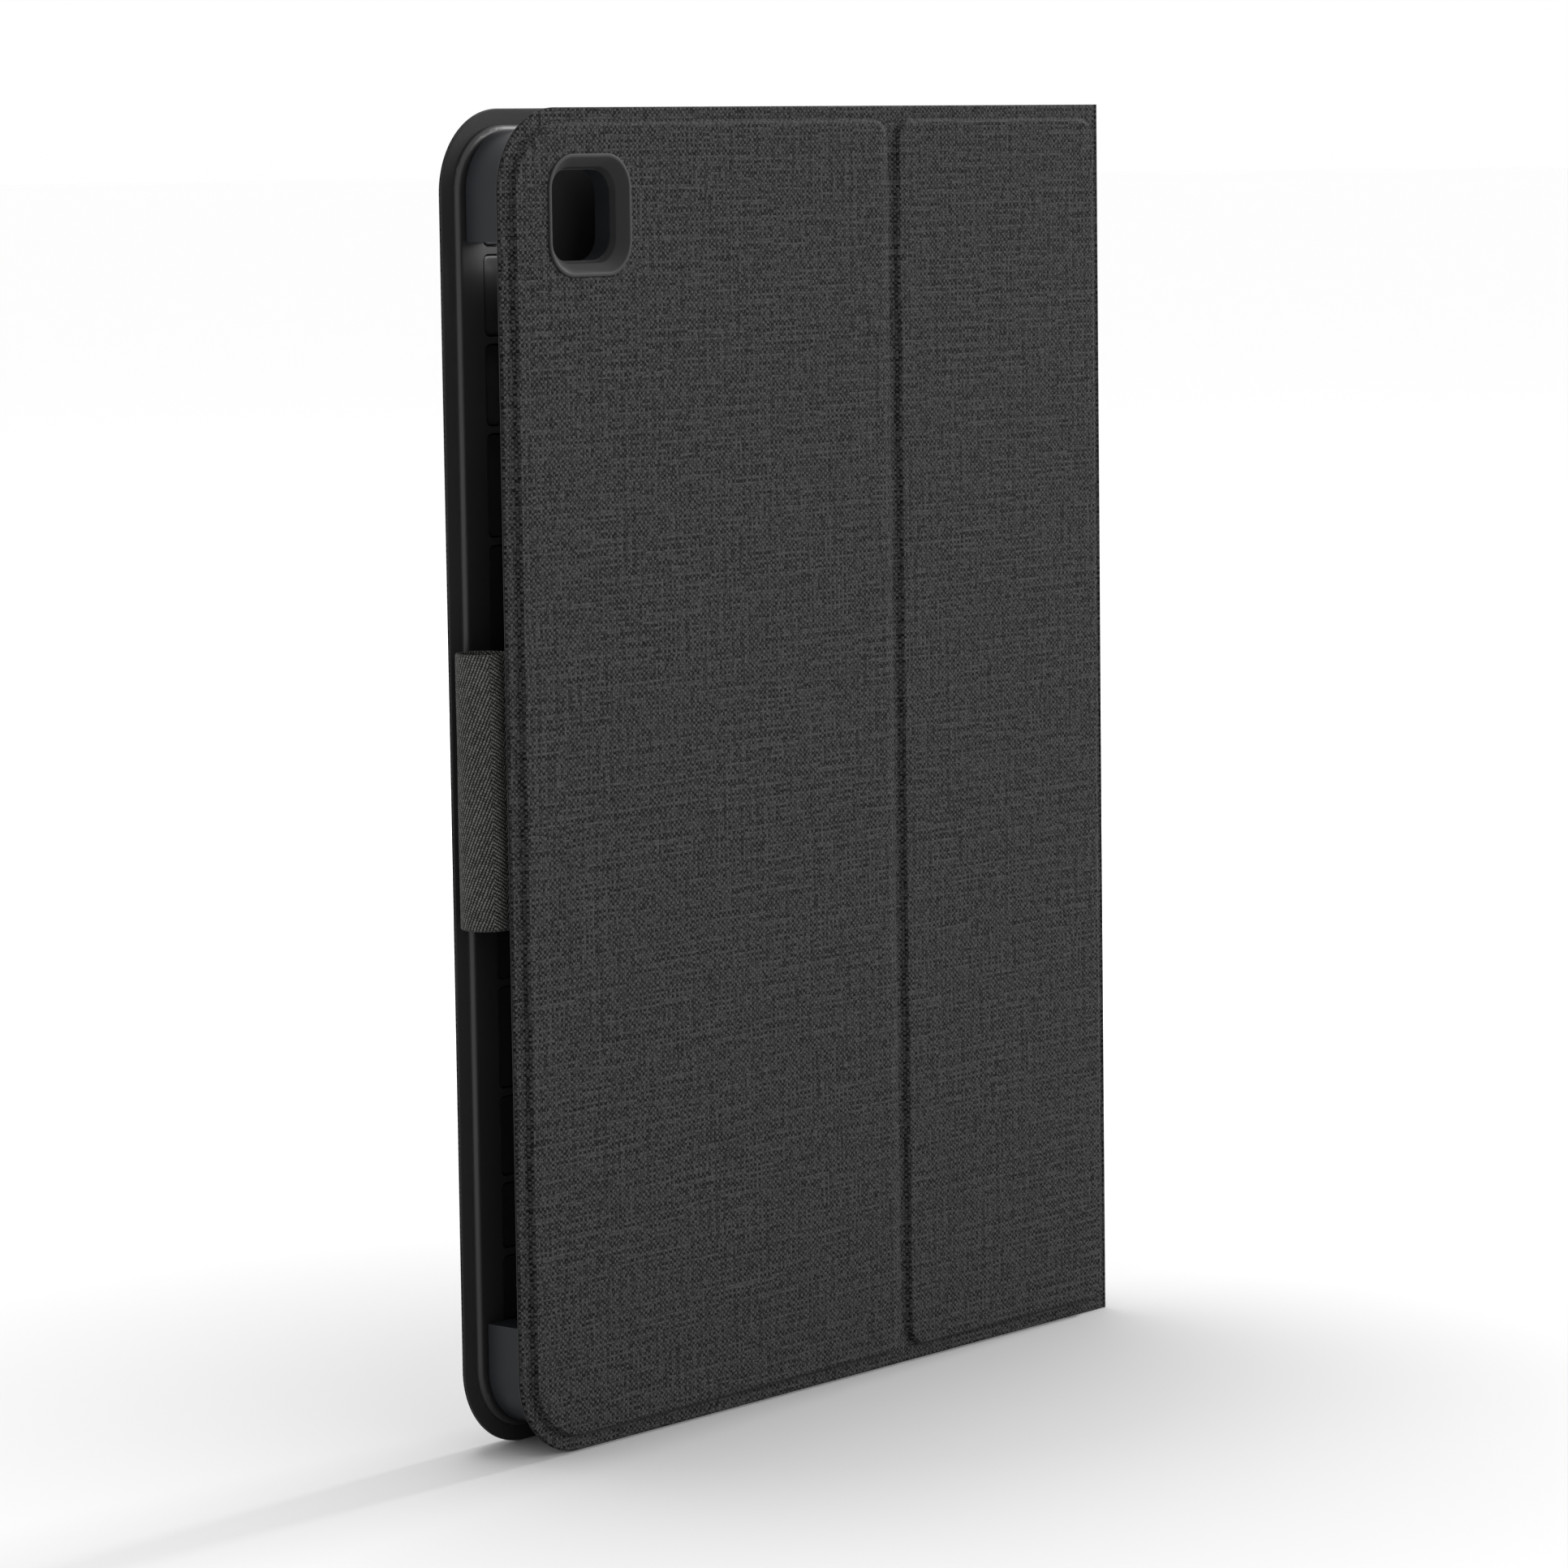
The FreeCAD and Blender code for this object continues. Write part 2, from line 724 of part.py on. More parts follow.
def main():
    """Write every piece."""
    os.makedirs("parts", exist_ok=True)
    back_cover()
    camera_ring()
    bonding_pad()
    tray()
    corner_holders()
    tray_magnets()
    stylus_sleeve()
    spine()
    front_cover()
    keys()
    deck()
    deck_fittings()
    electronics()


main()
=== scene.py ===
"""Tablet keyboard case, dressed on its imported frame.

The case is a fabric folio that stands closed on its short edge. Lengths in the
classes below are millimetres in cover coordinates: x runs from the open edge to
the spine, y from the back cover's margin to the keyboard cover, and z from the
edge it stands on. CoverFrame turns them into metres in the model's frame.
"""

import json
import logging
import math
from dataclasses import dataclass
from enum import Enum

import bmesh
import bpy
import numpy as np
from mathutils import Matrix, Vector


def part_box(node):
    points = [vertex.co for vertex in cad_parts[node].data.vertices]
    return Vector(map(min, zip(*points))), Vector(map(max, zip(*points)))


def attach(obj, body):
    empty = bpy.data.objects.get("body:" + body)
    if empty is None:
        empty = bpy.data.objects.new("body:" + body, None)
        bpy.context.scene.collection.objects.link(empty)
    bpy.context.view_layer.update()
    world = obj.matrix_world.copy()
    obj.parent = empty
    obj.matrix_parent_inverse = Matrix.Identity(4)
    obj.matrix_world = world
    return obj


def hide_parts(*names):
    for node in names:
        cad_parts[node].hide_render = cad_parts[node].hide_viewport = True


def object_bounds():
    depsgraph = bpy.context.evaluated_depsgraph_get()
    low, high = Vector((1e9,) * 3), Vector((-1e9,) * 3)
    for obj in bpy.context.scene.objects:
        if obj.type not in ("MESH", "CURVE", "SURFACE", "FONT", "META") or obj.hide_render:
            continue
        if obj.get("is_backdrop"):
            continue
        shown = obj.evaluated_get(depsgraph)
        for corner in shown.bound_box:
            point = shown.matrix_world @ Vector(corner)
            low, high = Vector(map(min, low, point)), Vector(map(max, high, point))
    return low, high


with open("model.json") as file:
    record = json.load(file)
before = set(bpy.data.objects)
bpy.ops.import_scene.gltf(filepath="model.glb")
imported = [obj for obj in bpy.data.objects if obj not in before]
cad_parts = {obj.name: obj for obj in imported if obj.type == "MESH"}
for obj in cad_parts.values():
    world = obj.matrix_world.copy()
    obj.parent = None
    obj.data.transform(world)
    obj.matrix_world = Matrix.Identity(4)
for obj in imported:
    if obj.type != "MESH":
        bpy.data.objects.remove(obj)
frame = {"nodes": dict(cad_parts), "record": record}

LOG = logging.getLogger("tablet_keyboard_case")
MM = 0.001
QUARTER = math.pi / 2

# Millimetres: a cover's height and width, its open corners' radius, the woven skin's thickness.
HEIGHT, WIDTH, CORNER, SKIN = 262.0, 186.9, 16.4, 0.5

Box = tuple[float, float, float, float]
Places = float | np.ndarray
Runs = tuple[tuple[float, float, float], ...]


# ---- geometry helpers ---------------------------------------------------------------------------
class Outward(Enum):
    """Which way a cover sheet's finished face looks along Y."""

    BACK = -1
    FRONT = 1


@dataclass(frozen=True)
class CoverFrame:
    """Cover coordinates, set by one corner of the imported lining.

    Args:
        origin: the open lower corner of the back cover's margin, in metres.
    """

    origin: tuple[float, float, float]

    @classmethod
    def from_lining(cls) -> "CoverFrame":
        """Find the corner from the lining's box, which starts one skin inside the margin."""
        low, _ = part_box("back_lining")
        return cls((low.x, low.y - SKIN * MM, low.z))

    def place(self, x: Places, y: Places, z: Places) -> np.ndarray:
        """Turn cover coordinates into metres; the three are broadcast together."""
        parts = np.broadcast_arrays(np.asarray(x, float), np.asarray(y, float), np.asarray(z, float))
        return np.stack(parts, axis=-1) * MM + np.asarray(self.origin)

    def box(self, node: str) -> tuple[np.ndarray, np.ndarray]:
        """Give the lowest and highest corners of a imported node, in cover coordinates."""
        low, high = (np.asarray(corner) - np.asarray(self.origin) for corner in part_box(node))
        return low / MM, high / MM


def smooth_step(t: np.ndarray) -> np.ndarray:
    """Rise from 0 to 1 as 3 t squared minus 2 t cubed, held outside that range."""
    t = np.clip(t, 0.0, 1.0)
    return t * t * (3.0 - 2.0 * t)


def spaced(*runs: tuple[float, float, float]) -> np.ndarray:
    """Join runs of evenly spaced lines.

    Args:
        runs: start, stop and largest step of each run; each starts where the last stopped.

    Returns:
        The lines in order, each once.
    """
    lines = [
        np.linspace(start, stop, max(2, math.ceil(abs(stop - start) / step) + 1))[:-1]
        for start, stop, step in runs
    ]
    return np.concatenate(lines + [np.array([runs[-1][1]])])


def rounded_distance(x: Places, z: Places, box: Box, low_r: float, high_r: float) -> np.ndarray:
    """Signed distance to a rounded rectangle, negative inside.

    The point is folded into one quarter; the distance is the length of its positive
    part beyond the corner's centre, less the corner's radius.

    Args:
        x: places across.
        z: places up.
        box: low x, high x, low z, high z.
        low_r: radius of the two corners on the low x side.
        high_r: radius of the two corners on the high x side.

    Returns:
        The distances.
    """
    x0, x1, z0, z1 = box
    px = x - (x0 + x1) / 2
    pz = z - (z0 + z1) / 2
    radius = np.where(px < 0, low_r, high_r)
    qx = np.abs(px) - (x1 - x0) / 2 + radius
    qz = np.abs(pz) - (z1 - z0) / 2 + radius
    outside = np.hypot(np.maximum(qx, 0), np.maximum(qz, 0))
    return outside + np.minimum(np.maximum(qx, qz), 0) - radius


def rounded_loop(x0: Places, x1: Places, z0: Places, z1: Places, radius: Places, steps: int) -> np.ndarray:
    """Points round a rounded rectangle, against the clock seen with x right and z up.

    Each corner is a quarter circle about its centre.

    Args:
        x0: low x; this and the next four may be arrays.
        x1: high x.
        z0: low z.
        z1: high z.
        radius: corner radius.
        steps: arcs' divisions.

    Returns:
        Array (..., 4 * (steps + 1), 2).
    """
    x0, x1, z0, z1, radius = (np.asarray(v, float)[..., None] for v in (x0, x1, z0, z1, radius))
    quarter = np.linspace(0.0, QUARTER, steps + 1)
    left, right, low, high = x0 + radius, x1 - radius, z0 + radius, z1 - radius
    corners = []
    for turn, (cx, cz) in enumerate(((right, high), (left, high), (left, low), (right, low))):
        angle = quarter + turn * QUARTER
        corners.append(np.stack([cx + radius * np.cos(angle), cz + radius * np.sin(angle)], axis=-1))
    return np.concatenate(corners, axis=-2)


def grid_faces(rows: int, cols: int, wrap_rows: bool = False, wrap_cols: bool = False) -> np.ndarray:
    """Quads of a grid of points, numbered row by row.

    Args:
        rows: rows of points.
        cols: points in each row.
        wrap_rows: whether the last row joins the first.
        wrap_cols: whether each row is a closed loop.

    Returns:
        Array (quads, 4) of point numbers.
    """
    i = np.arange(rows if wrap_rows else rows - 1)[:, None]
    j = np.arange(cols if wrap_cols else cols - 1)[None, :]
    i2 = (i + 1) % rows
    j2 = (j + 1) % cols
    corners = (i * cols + j, i * cols + j2, i2 * cols + j2, i2 * cols + j)
    return np.stack(np.broadcast_arrays(*corners), axis=-1).reshape(-1, 4)


def loft_faces(rows: int, cols: int) -> list[list[int]]:
    """Faces of a stack of closed loops with a flat face at each end.

    Args:
        rows: loops in the stack.
        cols: points in each loop.

    Returns:
        The sides' quads, then the first loop's face and the last loop's.
    """
    sides = grid_faces(rows, cols, False, True).tolist()
    return sides + [list(range(cols))[::-1], list(range((rows - 1) * cols, rows * cols))]


def make_piece(name: str, points: np.ndarray, faces: list, smooth: bool = True) -> bpy.types.Object:
    """Put points and faces into a new object that sits at the origin.

    Args:
        name: the piece's name.
        points: array of places in metres; its last axis has length 3.
        faces: lists of point numbers.
        smooth: whether its faces are shaded smooth.

    Returns:
        The new object.
    """
    mesh = bpy.data.meshes.new(name)
    mesh.from_pydata(points.reshape(-1, 3).tolist(), [], [list(face) for face in faces])
    mesh.polygons.foreach_set("use_smooth", np.full(len(mesh.polygons), smooth))
    mesh.update()
    piece = bpy.data.objects.new(name, mesh)
    bpy.context.scene.collection.objects.link(piece)
    return piece


def lay_map(piece: bpy.types.Object, places: np.ndarray) -> None:
    """Give a piece its cloth map.

    Args:
        piece: the object.
        places: one place in millimetres for each corner of each face.
    """
    layer = piece.data.uv_layers.new(name="cloth")
    layer.data.foreach_set("uv", places.ravel())


def corner_points(piece: bpy.types.Object) -> np.ndarray:
    """Give the number of the point at each corner of each face.

    Args:
        piece: the object.

    Returns:
        The numbers, face by face.
    """
    corners = np.zeros(len(piece.data.loops), int)
    piece.data.loops.foreach_get("vertex_index", corners)
    return corners


def sharpen(piece: bpy.types.Object, degrees: float) -> None:
    """Split the shading at edges sharper than an angle, in the mesh itself."""
    piece.data.set_sharp_from_angle(angle=math.radians(degrees))


def finish_piece(
    piece: bpy.types.Object, body: str, slot: str, finish: bpy.types.Material, *nodes: str
) -> bpy.types.Object:
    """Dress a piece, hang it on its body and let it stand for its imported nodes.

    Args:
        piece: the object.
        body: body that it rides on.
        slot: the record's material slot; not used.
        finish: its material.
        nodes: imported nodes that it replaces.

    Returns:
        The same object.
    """
    piece.data.materials.append(finish)
    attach(piece, body)
    if nodes:
        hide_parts(*nodes)
    stands_for = ", ".join(nodes) or "nothing"
    LOG.info("%s: %d faces, on %s, for %s", piece.name, len(piece.data.polygons), body, stands_for)
    return piece


# ---- shader wiring ------------------------------------------------------------------------------
class Wire:
    """One number or vector in a shader graph, with arithmetic that adds the nodes."""

    def __init__(self, graph: "Graph", socket: bpy.types.NodeSocket) -> None:
        """Keep the graph and the socket that carries the value."""
        self.graph = graph
        self.socket = socket

    def math(self, operation: str, *others: "Wire | float") -> "Wire":
        """Add a Math node by Blender's name of its operation, with any further inputs."""
        return self.graph.node("ShaderNodeMath", dict(enumerate((self, *others))), operation=operation)

    def __add__(self, other: "Wire | float") -> "Wire":
        """Sum."""
        return self.math("ADD", other)

    def __sub__(self, other: "Wire | float") -> "Wire":
        """Difference."""
        return self.math("SUBTRACT", other)

    def __mul__(self, other: "Wire | float") -> "Wire":
        """Product."""
        return self.math("MULTIPLY", other)

    def floor(self) -> "Wire":
        """Whole part."""
        return self.math("FLOOR")

    def fraction(self) -> "Wire":
        """Part after the point."""
        return self.math("FRACT")

    def clamp(self) -> "Wire":
        """Hold between 0 and 1."""
        return self.math("MAXIMUM", 0.0).math("MINIMUM", 1.0)

    def hump(self, fall: float) -> "Wire":
        """One minus fall times the square of the distance from the middle of the unit."""
        middle = self.fraction() - 0.5
        return (middle * middle * -fall) + 1.0


class Graph:
    """A material's node tree and its one Principled shader."""

    def __init__(self, name: str, **values: float) -> None:
        """Start a material.

        Args:
            name: the material's name.
            values: the shader's even values, by socket name with _ for spaces.
        """
        self.material = bpy.data.materials.new(name)
        self.material.use_nodes = True
        self.tree = self.material.node_tree
        self.shader = next(node for node in self.tree.nodes if node.type == "BSDF_PRINCIPLED")
        for key, value in values.items():
            self.shader.inputs[key.replace("_", " ")].default_value = value

    def feed(self, socket: bpy.types.NodeSocket, value: Wire | float | tuple) -> None:
        """Join a wire to a socket, or set the socket to a plain value.

        Args:
            socket: an input.
            value: what goes in.
        """
        if isinstance(value, Wire):
            self.tree.links.new(value.socket, socket)
        else:
            socket.default_value = value

    def node(self, kind: str, inputs: dict, output: int | str = 0, **settings: str) -> Wire:
        """Add a node.

        Args:
            kind: Blender's name of its type.
            inputs: values or wires by input name or number.
            output: the output that is wanted.
            settings: its properties.

        Returns:
            The output.
        """
        node = self.tree.nodes.new(kind)
        for key, value in settings.items():
            setattr(node, key, value)
        for key, value in inputs.items():
            self.feed(node.inputs[key], value)
        return Wire(self, node.outputs[output])

    def parts(self, vector: Wire) -> tuple[Wire, Wire, Wire]:
        """Split a vector into three wires."""
        first = self.node("ShaderNodeSeparateXYZ", {0: vector})
        return tuple(Wire(self, output) for output in first.socket.node.outputs)

    def place(self) -> tuple[Wire, Wire, Wire]:
        """Give Object coordinates in millimetres, as three wires."""
        source = self.node("ShaderNodeTexCoord", {}, "Object")
        return tuple(part * 1000.0 for part in self.parts(source))

    def spot(self, across: float = 1.0, out: float = 1.0, up: float = 1.0) -> Wire:
        """Give Object coordinates in millimetres as one vector, stretched along each axis."""
        x, y, z = self.place()
        return self.vector(x * across, y * out, z * up)

    def uv(self) -> tuple[Wire, Wire]:
        """Give the piece's own cloth map as two wires."""
        return self.parts(self.node("ShaderNodeUVMap", {}, "UV", uv_map="cloth"))[:2]

    def vector(self, x: Wire, y: Wire | float, z: Wire | float = 0.0) -> Wire:
        """Join three numbers into a vector."""
        return self.node("ShaderNodeCombineXYZ", {0: x, 1: y, 2: z})

    def noise(self, vector: Wire, scale: float, detail: float = 2.0, roughness: float = 0.5) -> Wire:
        """Soft noise from 0 to 1 at a place."""
        inputs = {"Vector": vector, "Scale": scale, "Detail": detail, "Roughness": roughness}
        return self.node("ShaderNodeTexNoise", inputs, "Fac")

    def chance(self, x: Wire, y: Wire | float) -> Wire:
        """One even random number from 0 to 1 for each pair."""
        inputs = {"Vector": self.vector(x, y)}
        return self.node("ShaderNodeTexWhiteNoise", inputs, "Value", noise_dimensions="2D")

    def choose(self, factor: Wire, low: Wire, high: Wire) -> Wire:
        """Number between two, by a factor."""
        return self.node("ShaderNodeMix", {0: factor, 2: low, 3: high}, data_type="FLOAT")

    def blend(self, factor: Wire, low: Wire | tuple, high: Wire | tuple) -> Wire:
        """Colour between two, by a factor."""
        return self.node("ShaderNodeMix", {0: factor, 6: low, 7: high}, 2, data_type="RGBA")

    def tint(self, factor: Wire, low: tuple, high: tuple) -> Wire:
        """Colour between two plain colours without alpha, by a factor."""
        return self.blend(factor, (*low, 1.0), (*high, 1.0))

    def colour(self, wire: Wire) -> None:
        """Join the base colour."""
        self.feed(self.shader.inputs["Base Color"], wire)

    def roughness(self, wire: Wire) -> None:
        """Join the roughness."""
        self.feed(self.shader.inputs["Roughness"], wire)

    def relief(self, height: Wire, depth: float, strength: float = 1.0) -> None:
        """Join a bump of a height field, depth in millimetres."""
        inputs = {"Distance": depth * MM, "Strength": strength, "Height": height}
        self.feed(self.shader.inputs["Normal"], self.node("ShaderNodeBump", inputs))


# ---- finishes -----------------------------------------------------------------------------------
class ClothLay(Enum):
    """What the weave's girth follows on a piece: the X axis, the Y axis or the piece's own map."""

    ACROSS = 0
    ROUND = 1
    MAPPED = 2


@dataclass(frozen=True)
class WovenFabric:
    """Heathered plain weave on the outside of the folio.

    Warp threads run up and weft threads run round the folio. Each cell of the grid
    shows the thread on top, so its height is a hump across that thread. A thread keeps
    its own shade for some millimetres, and each cell strays a little from it. Pitches and
    runs are in millimetres, wander and crimp in threads across and up, and a thread's
    tone is its gain and its lift.
    """

    name: str = "woven fabric"
    lay: ClothLay = ClothLay.ACROSS
    warp_pitch: float = 0.64
    weft_pitch: float = 0.55
    warp_run: float = 9.0
    weft_run: float = 11.0
    thread_fall: float = 2.2
    wander: tuple = (1.3, 1.1)
    crimp: tuple = (1.1, 1.0)
    warp_tone: tuple = (0.34, 0.68)
    weft_tone: tuple = (0.5, -0.22)
    streak: float = 1.55
    fuzz: float = 1.7
    gap_tone: float = -0.34
    dark: tuple = (0.002, 0.002, 0.0021)
    light: tuple = (0.0403, 0.0403, 0.0403)
    relief: float = 0.13

    def thread(self, graph: Graph, number: Wire, along: Wire, run: float) -> Wire:
        """Shade of a thread: one chance for each run of a pair, starting anywhere.

        Threads lie in pairs, and the second is as light as the first is dark, so that the
        cloth keeps an even tone over a few millimetres.

        Args:
            graph: the material's graph.
            number: which thread.
            along: place along it, in millimetres.
            run: length that keeps a shade.

        Returns:
            A number from 0 to 1.
        """
        pair = (number * 0.5).floor()
        second = (number * 0.5).fraction() * 2.0
        start = graph.chance(pair, 0.5) * 7.0
        first = graph.chance((along * (1.0 / run) + start).floor(), pair)
        return first + second * (first * -2.0 + 1.0)

    def material(self) -> bpy.types.Material:
        """Build the material.

        Returns:
            A material that is dark between threads and lightest on the warp's crowns.
        """
        graph = Graph(
            self.name, Roughness=0.95, Sheen_Weight=0.02, Sheen_Roughness=0.5, Specular_IOR_Level=0.1
        )
        if self.lay is ClothLay.MAPPED:
            girth, z = graph.uv()
        else:
            *level, z = graph.place()
            girth = level[self.lay.value]
        wander = graph.noise(graph.vector(girth, z), 0.35, 2.0)
        crimp = graph.noise(graph.vector(girth, z), 1.0, 1.0)
        across = girth * (1.0 / self.warp_pitch) + wander * self.wander[0] + crimp * self.crimp[0]
        up = z * (1.0 / self.weft_pitch) + wander * self.wander[1] - crimp * self.crimp[1]
        column = across.floor()
        row = up.floor()
        over = ((column + row) * 0.5).fraction() * 2.0
        warp_shade = self.thread(graph, column, z, self.warp_run)
        weft_shade = self.thread(graph, row, girth, self.weft_run)
        warp_crown = across.hump(self.thread_fall) * up.hump(1.0)
        weft_crown = up.hump(self.thread_fall) * across.hump(1.0)
        height = graph.choose(over, warp_crown, weft_crown)
        (warp_gain, warp_lift), (weft_gain, weft_lift) = self.warp_tone, self.weft_tone
        shade = graph.choose(over, warp_shade * warp_gain + warp_lift, weft_shade * weft_gain + weft_lift)
        cell = graph.chance(column, row)
        streak = warp_shade * 0.15 + weft_shade * 0.15
        fuzz = graph.noise(graph.vector(girth, z * 0.7), 3.2, 1.0) - 0.5
        tone = height * (shade * 0.9 + cell * 0.74) + streak * self.streak + fuzz * self.fuzz
        tone = tone + self.gap_tone
        graph.colour(graph.tint(tone.clamp(), self.dark, self.light))
        graph.relief(height * 0.7 + shade * 0.3, self.relief, 0.6)
        return graph.material


@dataclass(frozen=True)
class SmoothLining:
    """Brushed microfibre: a short even nap with a faint sheen."""

    dark: tuple = (0.0055, 0.0055, 0.006)
    light: tuple = (0.0125, 0.0125, 0.0135)

    def material(self) -> bpy.types.Material:
        """Build the material.

        Returns:
            A material whose tone strays with the nap and with long brushed streaks.
        """
        graph = Graph(
            "smooth lining", Roughness=0.8, Sheen_Weight=0.25, Sheen_Roughness=0.4, Specular_IOR_Level=0.3
        )
        nap = graph.noise(graph.spot(), 3.5, 3.0, 0.7)
        brushed = graph.noise(graph.spot(across=0.12, up=0.5), 0.4, 2.0)
        graph.colour(graph.tint((nap * 0.7 + brushed * 0.4 - 0.05).clamp(), self.dark, self.light))
        graph.relief(nap, 0.06, 0.5)
        return graph.material


@dataclass(frozen=True)
class MouldedPlastic:
    """Moulded plastic with a spark-eroded grain and a little uneven gloss.

    A rim with a painted highlight, where there is one, is the part that lies in front of a plane. Its
    colour is lighter than the rest by its gain, standing in for the light the rim catches.
    """

    name: str
    base: tuple
    gloss: float = 0.42
    grain: float = 5.0
    depth: float = 0.012
    shine: float = 0.45
    rim_y: float | None = None
    rim_gain: float = 1.0
    rim_edge: float = 12.0

    def shade(self, gain: float) -> tuple:
        """Give the base colour times a gain."""
        return tuple(value * gain for value in self.base)

    def material(self) -> bpy.types.Material:
        """Build the material.

        Returns:
            A material whose colour varies by a tenth and whose grain is a fine bump.
        """
        graph = Graph(self.name, Specular_IOR_Level=self.shine)
        grain = graph.noise(graph.spot(), self.grain, 2.0, 0.6)
        cloud = graph.noise(graph.spot(), 0.06, 2.0)
        mottle = (grain * 0.6 + cloud * 0.4).clamp()
        tint = graph.tint(mottle, self.shade(0.88), self.shade(1.12))
        # Painted highlight: the rim in front of rim_y is coloured lighter by rim_gain, for the light it
        # catches.
        if self.rim_y is not None:
            _, y, _ = graph.place()
            front = ((y - self.rim_y) * -self.rim_edge).clamp()
            painted_light_rim = graph.tint(mottle, self.shade(self.rim_gain * 0.92), self.shade(self.rim_gain))
            tint = graph.blend(front, tint, painted_light_rim)
        graph.colour(tint)
        graph.roughness(grain * 0.14 + cloud * 0.1 + (self.gloss - 0.12))
        graph.relief(grain, self.depth, 0.6)
        return graph.material


@dataclass(frozen=True)
class HerringboneWebbing:
    """Elastic webbing woven in a herringbone whose ridge runs along the sleeve.

    Left of the ridge the ribs are steep, right of it they are shallow. Each rib is a
    twisted thread, so its brightness also beats along its length.
    """

    steep: float = 67.0
    shallow: float = 31.0
    pitch: float = 0.62
    beat: float = 0.52
    ridge: float = 0.8
    dark: tuple = (0.001, 0.001, 0.001)
    light: tuple = (0.119, 0.1185, 0.111)

    def side(self, graph: Graph, u: Wire, v: Wire, angle: float, rise: float) -> Wire:
        """Height of the ribs on one side of the ridge.

        Args:
            graph: the material's graph.
            u: place round the sleeve.
            v: place along it.
            angle: the ribs' angle above the sleeve's girth.
            rise: 1 where ribs climb away to the right, -1 where they fall.

        Returns:
            A hump across each rib, beaten along it from a start that differs from rib to rib.
        """
        turn = math.radians(angle)
        across = (u * (math.sin(turn) / self.pitch)) - (v * (rise * math.cos(turn) / self.pitch))
        along = (u * (math.cos(turn) / self.beat)) + (v * (rise * math.sin(turn) / self.beat))
        rib = across.floor()
        signed_zero = rib * 0.0
        shift = along + graph.chance(rib, signed_zero) * 0.9
        return across.hump(3.9) * (shift.hump(1.9) + graph.chance(shift.floor(), rib) * 0.35 - 0.12)

    def material(self) -> bpy.types.Material:
        """Build the material.

        Returns:
            A material on the sleeve's own map, in millimetres.
        """
        graph = Graph("herringbone webbing", Roughness=0.92, Sheen_Weight=0.02, Specular_IOR_Level=0.1)
        u, v = graph.uv()
        wander = graph.noise(graph.vector(u, v), 0.7, 2.0) - 0.5
        u2 = u + wander * 0.5
        v2 = v + wander * 0.35
        left = self.side(graph, u2, v2, self.steep, 1.0)
        right = self.side(graph, u2, v2, self.shallow, -1.0)
        height = graph.choose(u2.math("GREATER_THAN", self.ridge), left, right)
        graph.colour(graph.tint(height.clamp().math("POWER", 2.3), self.dark, self.light))
        graph.relief(height, 0.16, 0.8)
        return graph.material


@dataclass(frozen=True)
class Mottled:
    """A finish that runs between two tones over one noise, which may also dent it.

    Args:
        name: the material's name.
        roughness: of the shader.
        low: one tone.
        high: the other tone.
        stretch: factors on the place along X, Y and Z.
        noise: its scale, detail and harshness.
        depth: of the dents, in millimetres.
    """

    name: str
    roughness: float
    low: tuple
    high: tuple
    stretch: tuple = (1.0, 1.0, 1.0)
    noise: tuple = (3.0, 2.0, 0.5)
    depth: float = 0.0

    def material(self) -> bpy.types.Material:
        """Build the material.

        Returns:
            The mottled material.
        """
        graph = Graph(self.name, Roughness=self.roughness)
        mottle = graph.noise(graph.spot(*self.stretch), *self.noise)
        graph.colour(graph.tint(mottle, self.low, self.high))
        if self.depth:
            graph.relief(mottle, self.depth)
        return graph.material


@dataclass(frozen=True)
class PlatedMetal:
    """Plated steel with fine brushing along one way."""

    name: str
    base: tuple
    gloss: float = 0.3

    def material(self) -> bpy.types.Material:
        """Build the material.

        Returns:
            A metal that is a fifth darker to a quarter lighter than its base.
        """
        graph = Graph(self.name, Metallic=1.0)
        brushed = graph.noise(graph.spot(6.0, 6.0, 0.4), 1.0, 3.0, 0.6)
        low = tuple(value * 0.8 for value in self.base)
        graph.colour(graph.tint(brushed, low, tuple(min(1.0, value * 1.25) for value in self.base)))
        graph.roughness(brushed * 0.2 + self.gloss)
        graph.relief(brushed, 0.01, 0.5)
        return graph.material


@dataclass(frozen=True)
class CircuitLaminate:
    """Green laminate with copper tracks under the solder mask."""

    track: float = 1.3

    def material(self) -> bpy.types.Material:
        """Build the material.

        Returns:
            A material whose tracks are thin runs of a square grid, cut at random.
        """
        graph = Graph("circuit laminate", Roughness=0.38)
        x, _, z = graph.place()
        along = x * (1.0 / self.track)
        up = z * (1.0 / self.track)
        pick = graph.chance((along * 0.25).floor(), up.floor())
        line = up.hump(9.0).clamp() * pick.math("GREATER_THAN", 0.45)
        graph.colour(graph.tint(line, (0.006, 0.05, 0.022), (0.03, 0.16, 0.07)))
        graph.relief(line, 0.03)
        return graph.material


@dataclass(frozen=True)
class Film:
    """Milky film, printed with carbon contacts on the key grid."""

    pitch: float = 17.3

    def material(self) -> bpy.types.Material:
        """Build the material.

        Returns:
            A pale material with a dark dot in each cell of the grid.
        """
        graph = Graph("membrane film", Roughness=0.3)
        x, _, z = graph.place()
        dot = (x * (1.0 / self.pitch)).hump(60.0).clamp() * (z * (1.0 / self.pitch)).hump(60.0).clamp()
        mottle = graph.noise(graph.spot(), 0.5)
        graph.colour(graph.tint((dot * 3.0 + mottle * 0.1).clamp(), (0.5, 0.5, 0.48), (0.03, 0.03, 0.03)))
        return graph.material


